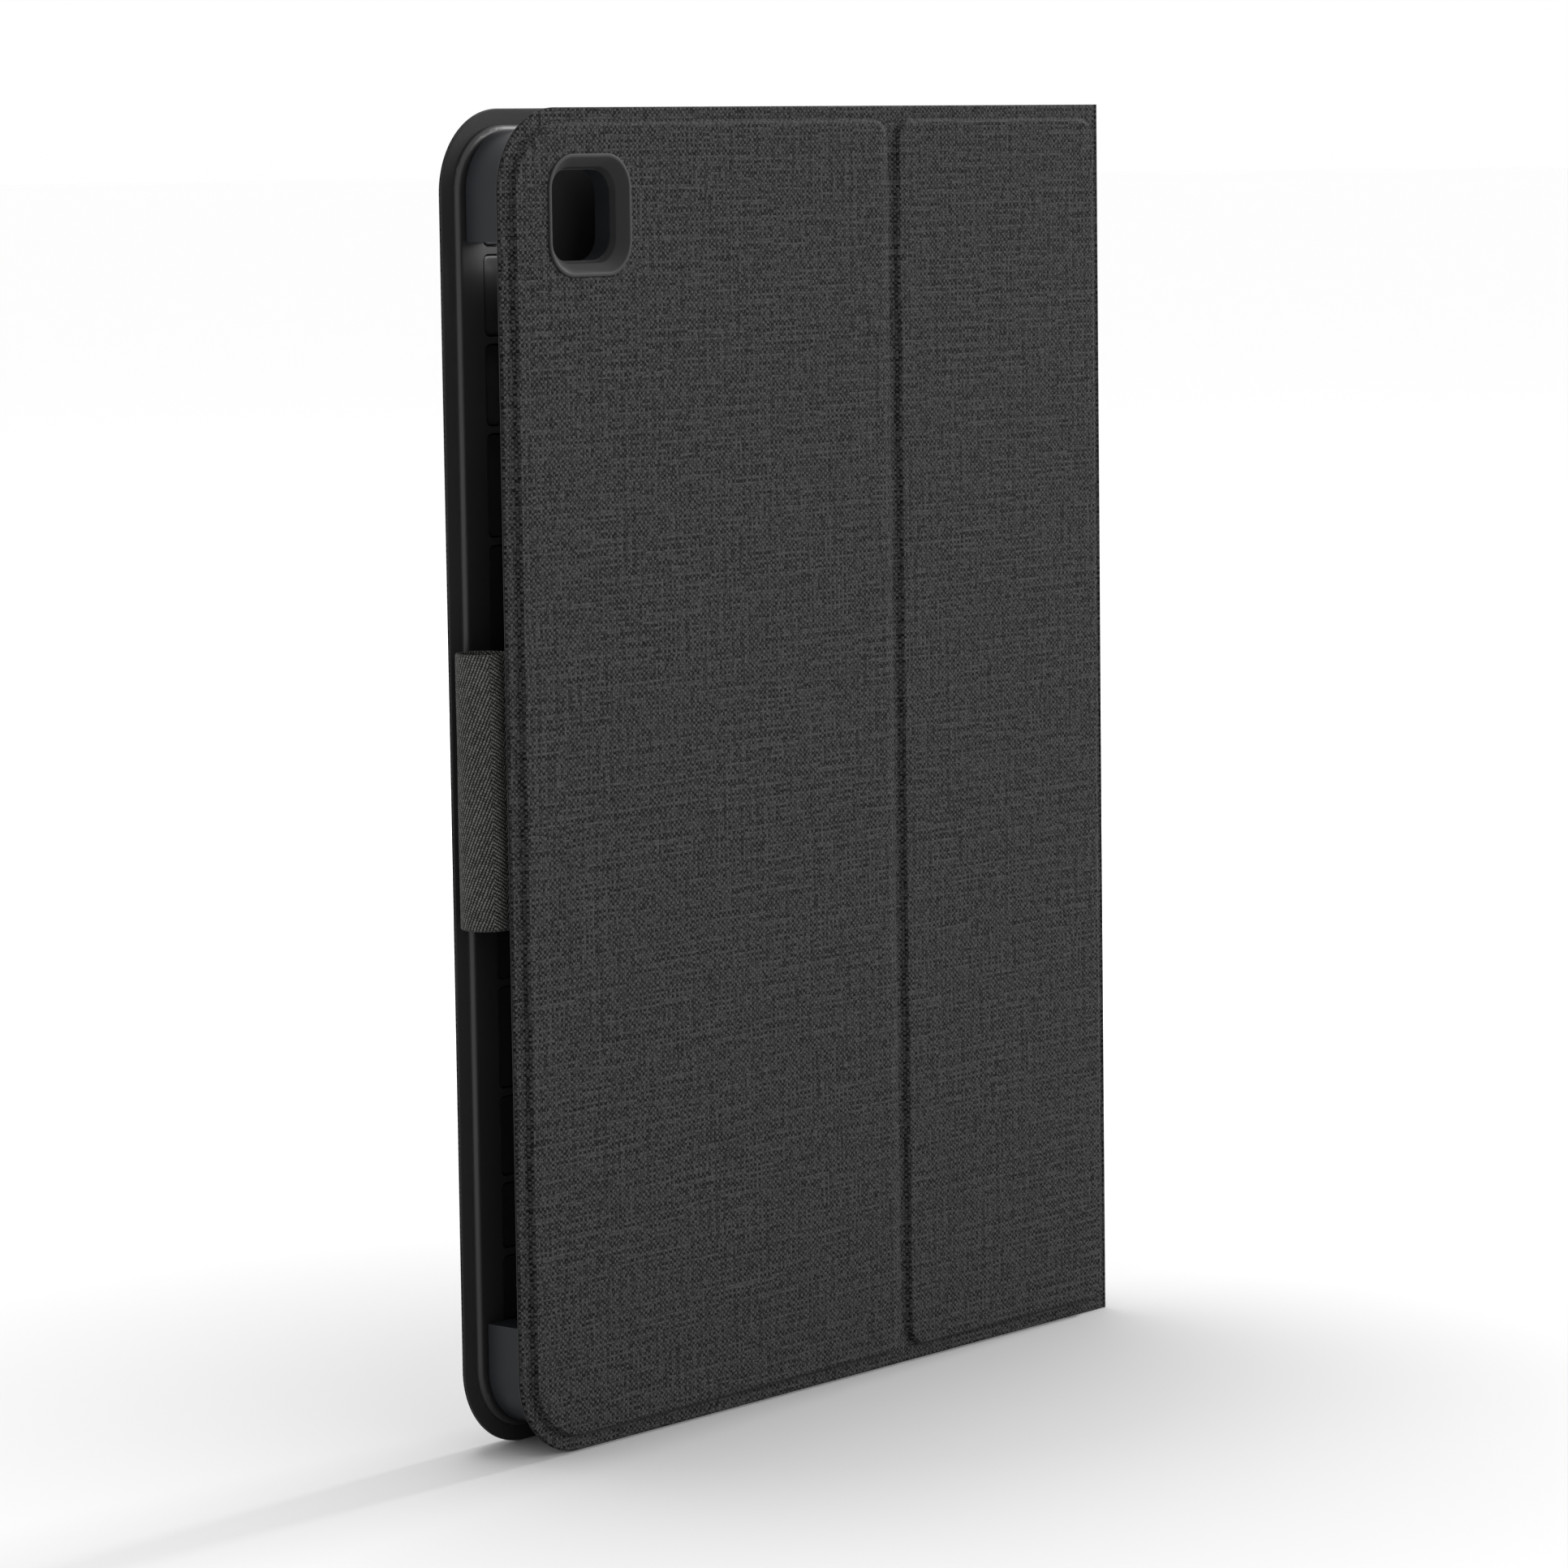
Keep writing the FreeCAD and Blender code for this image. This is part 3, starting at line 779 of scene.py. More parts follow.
@dataclass(frozen=True)
class SoftGrip:
    """Soft-touch strip with fine ribs along the tablet's edge."""

    rib: float = 0.8

    def material(self) -> bpy.types.Material:
        """Build the material.

        Returns:
            A dark material with a rounded rib every pitch and a little grain.
        """
        graph = Graph("soft strip", Roughness=0.7, Specular_IOR_Level=0.3)
        x, _, _ = graph.place()
        rib = (x * (1.0 / self.rib)).hump(3.0)
        graph.colour(graph.tint(rib, (0.006, 0.006, 0.006), (0.022, 0.022, 0.022)))
        graph.relief(rib + graph.noise(graph.spot(), 3.0) * 0.3, 0.1)
        return graph.material


class Finishes:
    """Every finish of the case, by the record's material slot."""

    def __init__(self) -> None:
        """Build each material once."""
        finishes = {
            "woven_fabric": WovenFabric(),
            "smooth_lining": SmoothLining(),
            "board": Mottled(
                "stiffening board", 0.85, (0.09, 0.088, 0.083), (0.19, 0.186, 0.176),
                stretch=(0.3, 1.0, 1.4), noise=(1.2, 4.0, 0.7), depth=0.05,
            ),
            "tray_plastic": MouldedPlastic("tray plastic", (0.0125, 0.0137, 0.0165), 0.4, shine=0.25),
            # The ring's rim carries a painted highlight: it is coloured lighter in front of y = -9.74 mm.
            "ring_plastic": MouldedPlastic(
                "ring plastic", (0.0145, 0.0145, 0.015), 0.62, shine=0.2, rim_y=-9.74, rim_gain=1.1
            ),
            "foam": Mottled(
                "adhesive foam", 0.9, (0.012, 0.012, 0.012), (0.045, 0.045, 0.045),
                noise=(4.0, 2.0, 0.6), depth=0.08,
            ),
            "magnet": PlatedMetal("plated magnet", (0.42, 0.42, 0.44), 0.25),
            "elastic_webbing": HerringboneWebbing(),
            "deck_plastic": MouldedPlastic("deck plastic", (0.017, 0.017, 0.018), 0.42, 3.5, 0.02),
            "key_plastic": MouldedPlastic("key plastic", (0.012, 0.012, 0.013), 0.4, 6.0, 0.01),
            "soft_strip": SoftGrip(),
            "circuit": CircuitLaminate(),
            "cell_steel": PlatedMetal("cell steel", (0.55, 0.55, 0.56), 0.22),
            "spring_metal": PlatedMetal("contact plate", (0.6, 0.56, 0.42), 0.2),
            "membrane": Film(),
            "light_pipe": Mottled("light pipe", 0.35, (0.4, 0.43, 0.4), (0.62, 0.65, 0.62)),
            "knob_plastic": MouldedPlastic("knob plastic", (0.03, 0.03, 0.032), 0.35),
        }
        self.by_slot = {slot: finish.material() for slot, finish in finishes.items()}
        self.cover_cloth = WovenFabric("woven fabric of the covers", ClothLay.MAPPED).material()
        self.spine_cloth = WovenFabric("woven fabric of the spine", ClothLay.ROUND).material()
        self.legend = Mottled("legend ink", 0.6, (0.28, 0.28, 0.28), (0.42, 0.42, 0.42)).material()

    def __getitem__(self, slot: str) -> bpy.types.Material:
        """Give the material of a slot."""
        return self.by_slot[slot]

    def dress_nodes(self) -> None:
        """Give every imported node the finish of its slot."""
        for part in frame["record"]["subparts"]:
            node = frame["nodes"][part["node"]]
            finish = self.by_slot[part["material_slot"]]
            if not node.material_slots:
                node.data.materials.append(finish)
            for place in node.material_slots:
                place.material = finish
            LOG.info("%s: packed node, %s", part["node"], finish.name)


@dataclass
class SubAssembly:
    """A group of pieces, made in the covers' coordinates and in the case's finishes."""

    covers: CoverFrame
    finishes: Finishes


# ---- covers -------------------------------------------------------------------------------------
@dataclass(frozen=True)
class Panel:
    """A raised panel's outline and how steeply the skin climbs it.

    Args:
        box: low x, high x, low z, high z.
        open_radius: corner radius on the open side.
        spine_radius: corner radius on the spine side.
        run: width of the slope, centred on the outline.
        fall: start and end of a slow fall towards the groove, or none.
    """

    box: Box
    open_radius: float
    spine_radius: float
    run: float = 1.2
    fall: tuple[float, float] | None = None

    def distance(self, x: Places, z: Places) -> np.ndarray:
        """Signed distance to the outline, negative on the panel."""
        return rounded_distance(x, z, self.box, self.open_radius, self.spine_radius)

    def share(self, x: np.ndarray, z: np.ndarray) -> np.ndarray:
        """Share of the full rise at a place: a smooth step across the outline.

        A panel that falls slowly is also scaled by the cosine of a quarter turn
        over the fall.

        Args:
            x: places across.
            z: places up.

        Returns:
            Shares from 0 to 1.
        """
        share = smooth_step(0.5 - self.distance(x, z) / self.run)
        if self.fall:
            start, end = self.fall
            share = share * np.cos(np.clip((x - start) / (end - start), 0.0, 1.0) * QUARTER)
        return share

    def unfold(self, x: np.ndarray, z: np.ndarray, rise: float) -> tuple[np.ndarray, np.ndarray]:
        """How far the cloth's own threads lie beyond x and z, because it climbs the slope.

        The extra length is the slope's arc length less its width, up to the place. It
        points away from the panel, along the gradient of the distance.

        Args:
            x: places across.
            z: places up.
            rise: the panel's full rise.

        Returns:
            The shift of the map in x and in z.
        """
        run = np.linspace(-self.run / 2, self.run / 2, 81)
        slope = np.gradient(rise * smooth_step(0.5 - run / self.run), run)
        spare = np.sqrt(1 + slope * slope) - 1
        spent = np.concatenate([[0.0], np.cumsum((spare[1:] + spare[:-1]) / 2 * np.diff(run))])
        extra = np.interp(self.distance(x, z), run, spent)
        step = 0.01
        lean_x = (self.distance(x + step, z) - self.distance(x - step, z)) / (2 * step)
        lean_z = (self.distance(x, z + step) - self.distance(x, z - step)) / (2 * step)
        return extra * lean_x, extra * lean_z


@dataclass(frozen=True)
class Opening:
    """A rounded hole in a sheet, left open under the piece that fills it."""

    box: Box
    radius: float

    def covers(self, x: np.ndarray, z: np.ndarray) -> np.ndarray:
        """Whether each place is inside the hole."""
        return rounded_distance(x, z, self.box, self.radius, self.radius) < 0


@dataclass
class CoverSheet:
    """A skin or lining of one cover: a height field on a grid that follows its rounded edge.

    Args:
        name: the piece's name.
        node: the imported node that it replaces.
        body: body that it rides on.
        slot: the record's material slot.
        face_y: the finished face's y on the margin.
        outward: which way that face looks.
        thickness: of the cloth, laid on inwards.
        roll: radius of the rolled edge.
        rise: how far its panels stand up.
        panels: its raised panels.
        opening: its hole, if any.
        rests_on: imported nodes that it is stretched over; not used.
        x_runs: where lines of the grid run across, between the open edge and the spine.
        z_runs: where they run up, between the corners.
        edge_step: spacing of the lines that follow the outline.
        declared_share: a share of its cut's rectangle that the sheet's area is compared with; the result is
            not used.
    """

    name: str
    node: str
    body: str
    slot: str
    face_y: float
    outward: Outward
    thickness: float
    roll: float
    rise: float = 0.0
    panels: tuple[Panel, ...] = ()
    opening: Opening | None = None
    rests_on: tuple[str, ...] = ("base_plate",)
    x_runs: Runs = ((CORNER, 178.0, 8.0), (178.0, 186.5, 0.6), (186.5, WIDTH, 0.1))
    z_runs: Runs = ((CORNER, HEIGHT - CORNER, 8.0),)
    edge_step: float = 0.6
    declared_share: float = 0.3

    def edge_lines(self) -> np.ndarray:
        """Distances from the outline at which lines run: fine on the roll and the slope.

        Returns:
            The distances, from the edge inwards.
        """
        quarter = self.roll * (1 - np.cos(np.linspace(0, QUARTER, 6)))
        step = self.edge_step
        runs = spaced((self.roll, 2.4, 0.65), (2.4, 3.8, 0.14), (3.8, 9.0, step), (9.0, CORNER, step))
        return np.concatenate([quarter[:-1], runs])

    def grid(self) -> tuple[np.ndarray, np.ndarray]:
        """Places of the grid's points.

        Lines are straight, except in the two open corners. There, the line at a given
        distance from the outline is an arc about the corner's centre, with radius
        less by that distance, and its points share out the quarter turn evenly.

        Returns:
            The x and z of each point, rows going up and columns across.
        """
        edge = self.edge_lines()
        n = len(edge) - 1
        x_lines = np.concatenate([edge[:-1], spaced(*self.x_runs)])
        z_lines = np.concatenate([edge[:-1], spaced(*self.z_runs)[:-1], (HEIGHT - edge)[::-1]])
        x, z = np.meshgrid(x_lines, z_lines)
        j, i = np.meshgrid(np.arange(n + 1), np.arange(n + 1), indexing="ij")
        k = np.minimum(i, j)
        left = np.maximum(n - k, 1)
        eighth = QUARTER / 2
        angle = np.where(i <= j, eighth * (n - j) / left, QUARTER - eighth * (n - i) / left)
        reach = CORNER - edge[k]
        corner_x = CORNER - reach * np.cos(angle)
        corner_z = CORNER - reach * np.sin(angle)
        x[: n + 1, : n + 1] = corner_x
        z[: n + 1, : n + 1] = corner_z
        x[-(n + 1):, : n + 1] = corner_x[::-1]
        z[-(n + 1):, : n + 1] = HEIGHT - corner_z[::-1]
        return x, z

    def relief(self, x: np.ndarray, z: np.ndarray) -> np.ndarray:
        """Distance of the face above the margin: panels up, less the roll at the edges.

        The roll drops by the radius less the height of a quarter circle, at the
        distance from the outline.

        Args:
            x: places across.
            z: places up.

        Returns:
            The distances.
        """
        rise = np.zeros_like(x)
        for panel in self.panels:
            rise = np.maximum(rise, self.rise * panel.share(x, z))
        far = 2000.0
        outline = -rounded_distance(x, z, (0.0, far, 0.0, HEIGHT), CORNER, 0.0)
        for inside, roll in ((outline, self.roll), (WIDTH - x, self.roll / 2)):
            left = 1 - np.clip(inside / roll, 0.0, 1.0)
            rise = rise - roll * (1 - np.sqrt(1 - left * left))
        return rise

    def faces(self, x: np.ndarray, z: np.ndarray) -> np.ndarray:
        """Quads of the grid that lie outside the opening, facing outward.

        Args:
            x: the grid's places across.
            z: the grid's places up.

        Returns:
            Array (quads, 4) of point numbers.
        """
        faces = grid_faces(*x.shape)
        if self.opening:
            middle = (places.ravel()[faces].mean(axis=1) for places in (x, z))
            faces = faces[~self.opening.covers(*middle)]
        return faces[:, ::-1] if self.outward is Outward.FRONT else faces

    def build(self, covers: CoverFrame, finish: bpy.types.Material) -> None:
        """Make the sheet, lay its map and thicken it towards the inside.

        Args:
            covers: the covers' frame.
            finish: its material.
        """
        x, z = self.grid()
        y = self.face_y + self.outward.value * self.relief(x, z)
        used, faces = np.unique(self.faces(x, z), return_inverse=True)
        faces = faces.reshape(-1, 4)
        points = covers.place(x, y, z).reshape(-1, 3)[used]
        piece = make_piece(self.name, points, faces.tolist())
        across, up = x.copy(), z.copy()
        for panel in self.panels:
            shift_x, shift_z = panel.unfold(x, z, self.rise)
            across += shift_x
            up += shift_z
        lay_map(piece, np.stack([across, up], axis=-1).reshape(-1, 2)[used][corner_points(piece)])
        wall = piece.modifiers.new("thickness", "SOLIDIFY")
        wall.thickness = self.thickness * MM
        wall.offset = -1.0
        finish_piece(piece, self.body, self.slot, finish, self.node)
        corner = points[faces]
        spread = np.cross(corner[:, 2] - corner[:, 0], corner[:, 3] - corner[:, 1])
        area = np.linalg.norm(spread, axis=1).sum() / 2
        cut = (float(np.ptp(across)) * MM, float(np.ptp(up)) * MM)
        area > self.declared_share * cut[0] * cut[1]


@dataclass
class Covers(SubAssembly):
    """The two covers' skins and linings."""

    margin: float = 3.1
    panel_end: float = 185.2
    back_rise: float = 1.1
    front_rise: float = 2.2
    groove: tuple[float, float] = (115.35, 118.65)
    groove_fall: tuple[float, float] = (112.7, 117.3)
    inner_radius: float = 4.5
    hem: float = 0.6
    window: tuple[float, float] = (24.3, 241.3)
    seat_half: float = 11.45
    seat_radius: float = 6.6
    back_x: Runs = (
        (CORNER, 38.0, 0.5), (38.0, 110.0, 8.0), (110.0, 124.0, 0.4), (124.0, 178.0, 8.0),
        (178.0, 186.5, 0.45), (186.5, WIDTH, 0.1),
    )
    back_z: Runs = ((CORNER, 220.0, 8.0), (220.0, HEIGHT - CORNER, 0.5))

    def build(self) -> None:
        """Make the four sheets."""
        low, high = self.margin, HEIGHT - self.margin
        outer, inner, end = CORNER - self.margin, self.inner_radius, self.panel_end
        wx, wz = self.window
        half = self.seat_half
        back = {
            "opening": Opening((wx - half, wx + half, wz - half, wz + half), self.seat_radius),
            "x_runs": self.back_x, "z_runs": self.back_z, "edge_step": 0.36,
            "rests_on": ("main_board", "fold_board"),
        }
        main = Panel((low, self.groove[0] + 0.9, low, high), outer, inner, 1.2, self.groove_fall)
        fold = Panel((self.groove[1], end, low, high), inner, inner, 1.0)
        housing = Panel((low, end, low, high), outer, inner, 1.6)
        hem = self.hem
        pocket = Opening((low + hem, end - hem, low + hem, high - hem), outer - hem)
        cloth, lining = self.finishes.cover_cloth, self.finishes["smooth_lining"]
        CoverSheet(
            "back_skin", "back_fabric", "back_cover", "woven_fabric", 0.0, Outward.BACK, 0.42, 0.45,
            rise=self.back_rise, panels=(main, fold), **back,
        ).build(self.covers, cloth)
        CoverSheet(
            "back_inner_lining", "back_lining", "back_cover", "smooth_lining",
            0.95, Outward.FRONT, 0.4, 0.3, **back,
        ).build(self.covers, lining)
        CoverSheet(
            "front_skin", "front_fabric", "keyboard_cover", "woven_fabric", 16.0, Outward.FRONT, 0.42, 0.45,
            rise=self.front_rise, panels=(housing,),
        ).build(self.covers, cloth)
        CoverSheet(
            "front_margin_lining", "front_lining", "keyboard_cover", "smooth_lining",
            15.05, Outward.BACK, 0.4, 0.3, opening=pocket,
        ).build(self.covers, lining)


@dataclass
class CameraBezel(SubAssembly):
    """Moulded ring round the camera window, with a sloping funnel."""

    centre: tuple[float, float] = (24.3, 241.3)
    arc_steps: int = 14

    def profile(self) -> np.ndarray:
        """Half size, corner radius and y of each loop, going up the outside and down the funnel.

        Edges are eased by short chamfers; the funnel's radius shrinks in step with
        its half size.

        Returns:
            Array (loops, 3).
        """
        return np.array(
            [
                (11.85, 7.00, 1.70), (11.85, 7.00, 0.00), (11.85, 7.00, -1.27), (11.82, 6.97, -1.38),
                (11.75, 6.90, -1.46), (11.64, 6.79, -1.50), (11.22, 6.40, -1.50), (11.12, 6.32, -1.46),
                (11.04, 6.26, -1.38), (10.55, 5.92, -0.86), (10.00, 5.53, -0.28), (9.35, 5.07, 0.41),
                (9.27, 5.02, 0.50), (9.24, 5.01, 0.59), (9.05, 5.01, 1.14), (8.86, 5.00, 1.70),
            ]
        )

    def build(self) -> None:
        """Carry the profile round the rounded square and join it to itself both ways."""
        half, radius, y = self.profile().T
        cx, cz = self.centre
        loops = rounded_loop(cx - half, cx + half, cz - half, cz + half, radius, self.arc_steps)
        points = self.covers.place(loops[..., 0], y[:, None], loops[..., 1])
        piece = make_piece("camera_bezel", points, grid_faces(*points.shape[:2], True, True).tolist())
        sharpen(piece, 31)
        finish_piece(piece, "back_cover", "ring_plastic", self.finishes["ring_plastic"], "camera_ring")


@dataclass
class StylusLoop(SubAssembly):
    """Elastic sleeve for the stylus: a tube of webbing and the tab sewn under the tray."""

    centre: tuple[float, float] = (1.9, 8.5)
    outer: float = 5.2
    inner: float = 4.5
    low: float = 104.3
    high: float = 157.9
    ridge: float = 230.0
    around: int = 96
    along: int = 48
    swell: float = 0.006
    tab_end: float = 1.3
    tab_floor: float = 1.32
    tab_inset: float = 0.15

    def tube(self) -> bpy.types.Object:
        """Turn a thin rounded strip about the sleeve's axis.

        The strip runs up the outside, round the top edge, down the inside and round the
        bottom edge. Its map is the arc length round the sleeve from the ridge, and z.

        Returns:
            The tube.
        """
        bend = (self.outer - self.inner) / 2
        middle = (self.outer + self.inner) / 2
        ease = np.linspace(0, math.pi, 7)[1:-1]
        up = np.linspace(self.low + bend, self.high - bend, self.along)
        side = np.ones(up.size)
        turn_r, turn_z = bend * np.cos(ease), bend * np.sin(ease)
        r = np.concatenate([side * self.outer, middle + turn_r, side * self.inner, middle - turn_r])
        z = np.concatenate([up, self.high - bend + turn_z, up[::-1], self.low + bend - turn_z])
        turn = np.radians(self.ridge - 180 + np.arange(self.around) * 360 / self.around)
        cx, cy = self.centre
        wave = np.sin(z[:, None] * 0.21 + 3 * turn[None, :])
        reach = r[:, None] * (1 + self.swell * wave * (r[:, None] > middle))
        x = cx + reach * np.cos(turn)[None, :]
        y = cy + reach * np.sin(turn)[None, :]
        faces = grid_faces(z.size, self.around, True, True)
        piece = make_piece("stylus_sleeve_webbing", self.covers.place(x, y, z[:, None]), faces.tolist())
        column = faces % self.around
        column[:, 1:3] = column[:, :1] + 1
        path = np.cumsum(np.concatenate([[0.0], np.hypot(np.diff(r), np.diff(z))])) + self.low
        arc = (column / self.around * 360 - 180) * math.pi / 180 * self.outer
        lay_map(piece, np.stack([arc, path[faces // self.around]], axis=-1))
        return piece

    def tab(self) -> bpy.types.Object:
        """Carry the webbing's section from under the tube to beneath the tray.

        The middle line is a smooth step from the tube's foot down to the lining.

        Returns:
            The tab.
        """
        half = (self.outer - self.inner) / 2
        run = np.concatenate([np.linspace(self.centre[0], 9.0, 16), [12.0, 18.0, 24.0]])
        start = self.centre[1] - (self.outer + self.inner) / 2
        line = start + (self.tab_end - start) * smooth_step((run - self.centre[0]) / 6.8)
        line = np.maximum(line, self.tab_floor)
        section_y = np.array([-half, -half, half, half]) * 0.98
        top, end = self.high - self.tab_inset, self.low + self.tab_inset
        x = np.repeat(run[:, None], 4, axis=1)
        y = line[:, None] + section_y[None, :]
        z = np.repeat(np.array([[top, end, end, top]]), run.size, axis=0)
        piece = make_piece("stylus_sleeve_tab", self.covers.place(x, y, z), loft_faces(*x.shape))
        sharpen(piece, 40)
        lay_map(piece, np.stack([x.ravel() - 6.0, z.ravel()], axis=-1)[corner_points(piece)])
        return piece

    def build(self) -> None:
        """Make the tube and its tab."""
        slot = "elastic_webbing"
        tube = finish_piece(self.tube(), "back_cover", slot, self.finishes[slot], "stylus_sleeve")
        tab = finish_piece(self.tab(), "back_cover", slot, self.finishes[slot])


@dataclass
class SpineCloth(SubAssembly):
    """The spine's woven skin with its two rolled folds, and its lining."""

    outer_x: float = 188.0
    fold_low: float = 0.5
    fold_high: float = 15.5
    fold_radius: float = 0.5
    height: float = HEIGHT
    tuck: float = 0.45
    dip: float = 0.12
    dip_width: float = 0.55
    dip_at: float = 1.5

    def skin(self) -> bpy.types.Object:
        """Carry the section up the spine.

        The outer line is flat but for two shallow dips beside the folds, each a bell
        curve; each fold is three quarters of a circle; the inner line closes it.

        Returns:
            The skin.
        """
        radius = self.fold_radius
        axis_x = self.outer_x - radius
        flat_y = np.linspace(self.fold_low, self.fold_high, 61)
        dips = (self.fold_low + self.dip_at, self.fold_high - self.dip_at)
        bell = sum(np.exp(-(((flat_y - at) / self.dip_width) ** 2)) for at in dips)
        near = np.radians(np.linspace(180, 340, 13))
        far = np.radians(np.linspace(20, 180, 13))
        inner_y = np.linspace(self.fold_high - self.tuck, self.fold_low + self.tuck, 6)
        x = np.concatenate(
            [
                axis_x + radius * np.cos(near), self.outer_x - self.dip * bell,
                axis_x + radius * np.cos(far), np.full(6, self.outer_x - SKIN),
            ]
        )
        y = np.concatenate(
            [self.fold_low + radius * np.sin(near), flat_y, self.fold_high + radius * np.sin(far), inner_y]
        )
        z = spaced((0.0, 0.3, 0.1), (0.3, self.height - 0.3, 6.0), (self.height - 0.3, self.height, 0.1))
        points = self.covers.place(x[None, :], y[None, :], z[:, None])
        piece = make_piece("spine_skin", points, loft_faces(*points.shape[:2]))
        sharpen(piece, 60)
        return piece

    def lining(self, low: np.ndarray, high: np.ndarray) -> bpy.types.Object:
        """Carry a thin rounded strip up the inside of the spine.

        Args:
            low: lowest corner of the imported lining.
            high: highest corner of it.

        Returns:
            The lining.
        """
        loop = rounded_loop(low[0], high[0], low[1], high[1], 0.2, 4)
        z = spaced((0.0, self.height, 8.0))
        points = self.covers.place(loop[None, :, 0], loop[None, :, 1], z[:, None])
        return make_piece("spine_inner_lining", points, loft_faces(*points.shape[:2]))

    def build(self) -> None:
        """Make the skin and the lining."""
        low, high = self.covers.box("spine_lining")
        cloth, smooth = self.finishes.spine_cloth, self.finishes["smooth_lining"]
        skin = finish_piece(self.skin(), "spine", "woven_fabric", cloth, "spine_fabric")
        lining = finish_piece(self.lining(low, high), "spine", "smooth_lining", smooth, "spine_lining")
        cut = ((high[1] - low[1]) * MM, self.height * MM)


# ---- keyboard -----------------------------------------------------------------------------------
def key_spans(node: str, gap: float = 1.5) -> list[tuple[float, float]]:
    """Ends of each cap of a node along z.

    A cap's points lie only near its two ends, so the sorted heights fall into
    groups, two to a cap.

    Args:
        node: a packed key node.
        gap: least distance between groups, in millimetres.

    Returns:
        Low and high z of each cap, in metres.
    """
    mesh = frame["nodes"][node].data
    places = np.zeros(len(mesh.vertices) * 3, np.float32)
    mesh.vertices.foreach_get("co", places)
    z = np.unique(np.round(places.reshape(-1, 3)[:, 2], 6))
    breaks = np.flatnonzero(np.diff(z) > gap * MM)
    low = z[np.concatenate([[0], breaks + 1])]
    high = z[np.concatenate([breaks, [z.size - 1]])]
    return list(zip(low[0::2], high[1::2]))


@dataclass
class KeyCaps(SubAssembly):
    """Dished key caps with rounded rims, one piece for each packed key node."""

    radius: float = 1.3
    arc_steps: int = 4
    dish: float = 0.16

    def caps(self, node: str) -> bpy.types.Object:
        """Stack loops up each cap: side, rounded rim, then a dish that sinks with the inset squared.

        Args:
            node: a packed key node.

        Returns:
            All the node's caps as one piece.
        """
        low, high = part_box(node)
        spans = np.array(key_spans(node))
        x0, x1 = low.x / MM, high.x / MM
        z0, z1 = spans[:, 0] / MM, spans[:, 1] / MM
        top, base = low.y / MM, high.y / MM
        depth = x1 - x0
        inset = np.array([0.0, 0.0, 0.05, 0.18, 0.36, 0.6, 1.0, 0.2 * depth, 0.32 * depth, 0.44 * depth])
        drop = np.array([base - top, 0.42, 0.2, 0.07, 0.01, 0.0, 0.02, 0.5, 0.8, 0.97])
        drop[-3:] *= self.dish
        x_low = np.broadcast_to(x0 + inset, (len(spans), inset.size))
        x_high = np.broadcast_to(x1 - inset, (len(spans), inset.size))
        radius = np.maximum(self.radius - 0.4 * inset, 0.25)
        radius = np.minimum(radius, (x_high - x_low) / 2)
        z_low, z_high = z0[:, None] + inset, z1[:, None] - inset
        loops = rounded_loop(x_low, x_high, z_low, z_high, radius, self.arc_steps)
        y = np.broadcast_to((top + drop)[None, :, None], loops.shape[:3])
        points = np.stack([loops[..., 0], y, loops[..., 1]], axis=-1) * MM
        count, rows, cols = points.shape[:3]
        one = loft_faces(rows, cols)
        faces = [[point + cap * rows * cols for point in face] for cap in range(count) for face in one]
        piece = make_piece(node + "_caps", points, faces)
        sharpen(piece, 55)
        return piece

    def build(self) -> None:
        """Make the caps of every key node."""
        finish = self.finishes["key_plastic"]
        for body, nodes in frame["record"]["behaviour"]["bodies"].items():
            if body.endswith(("_key", "_keys", "space_bar")):
                finish_piece(self.caps(nodes[0]), body, "key_plastic", finish, nodes[0])


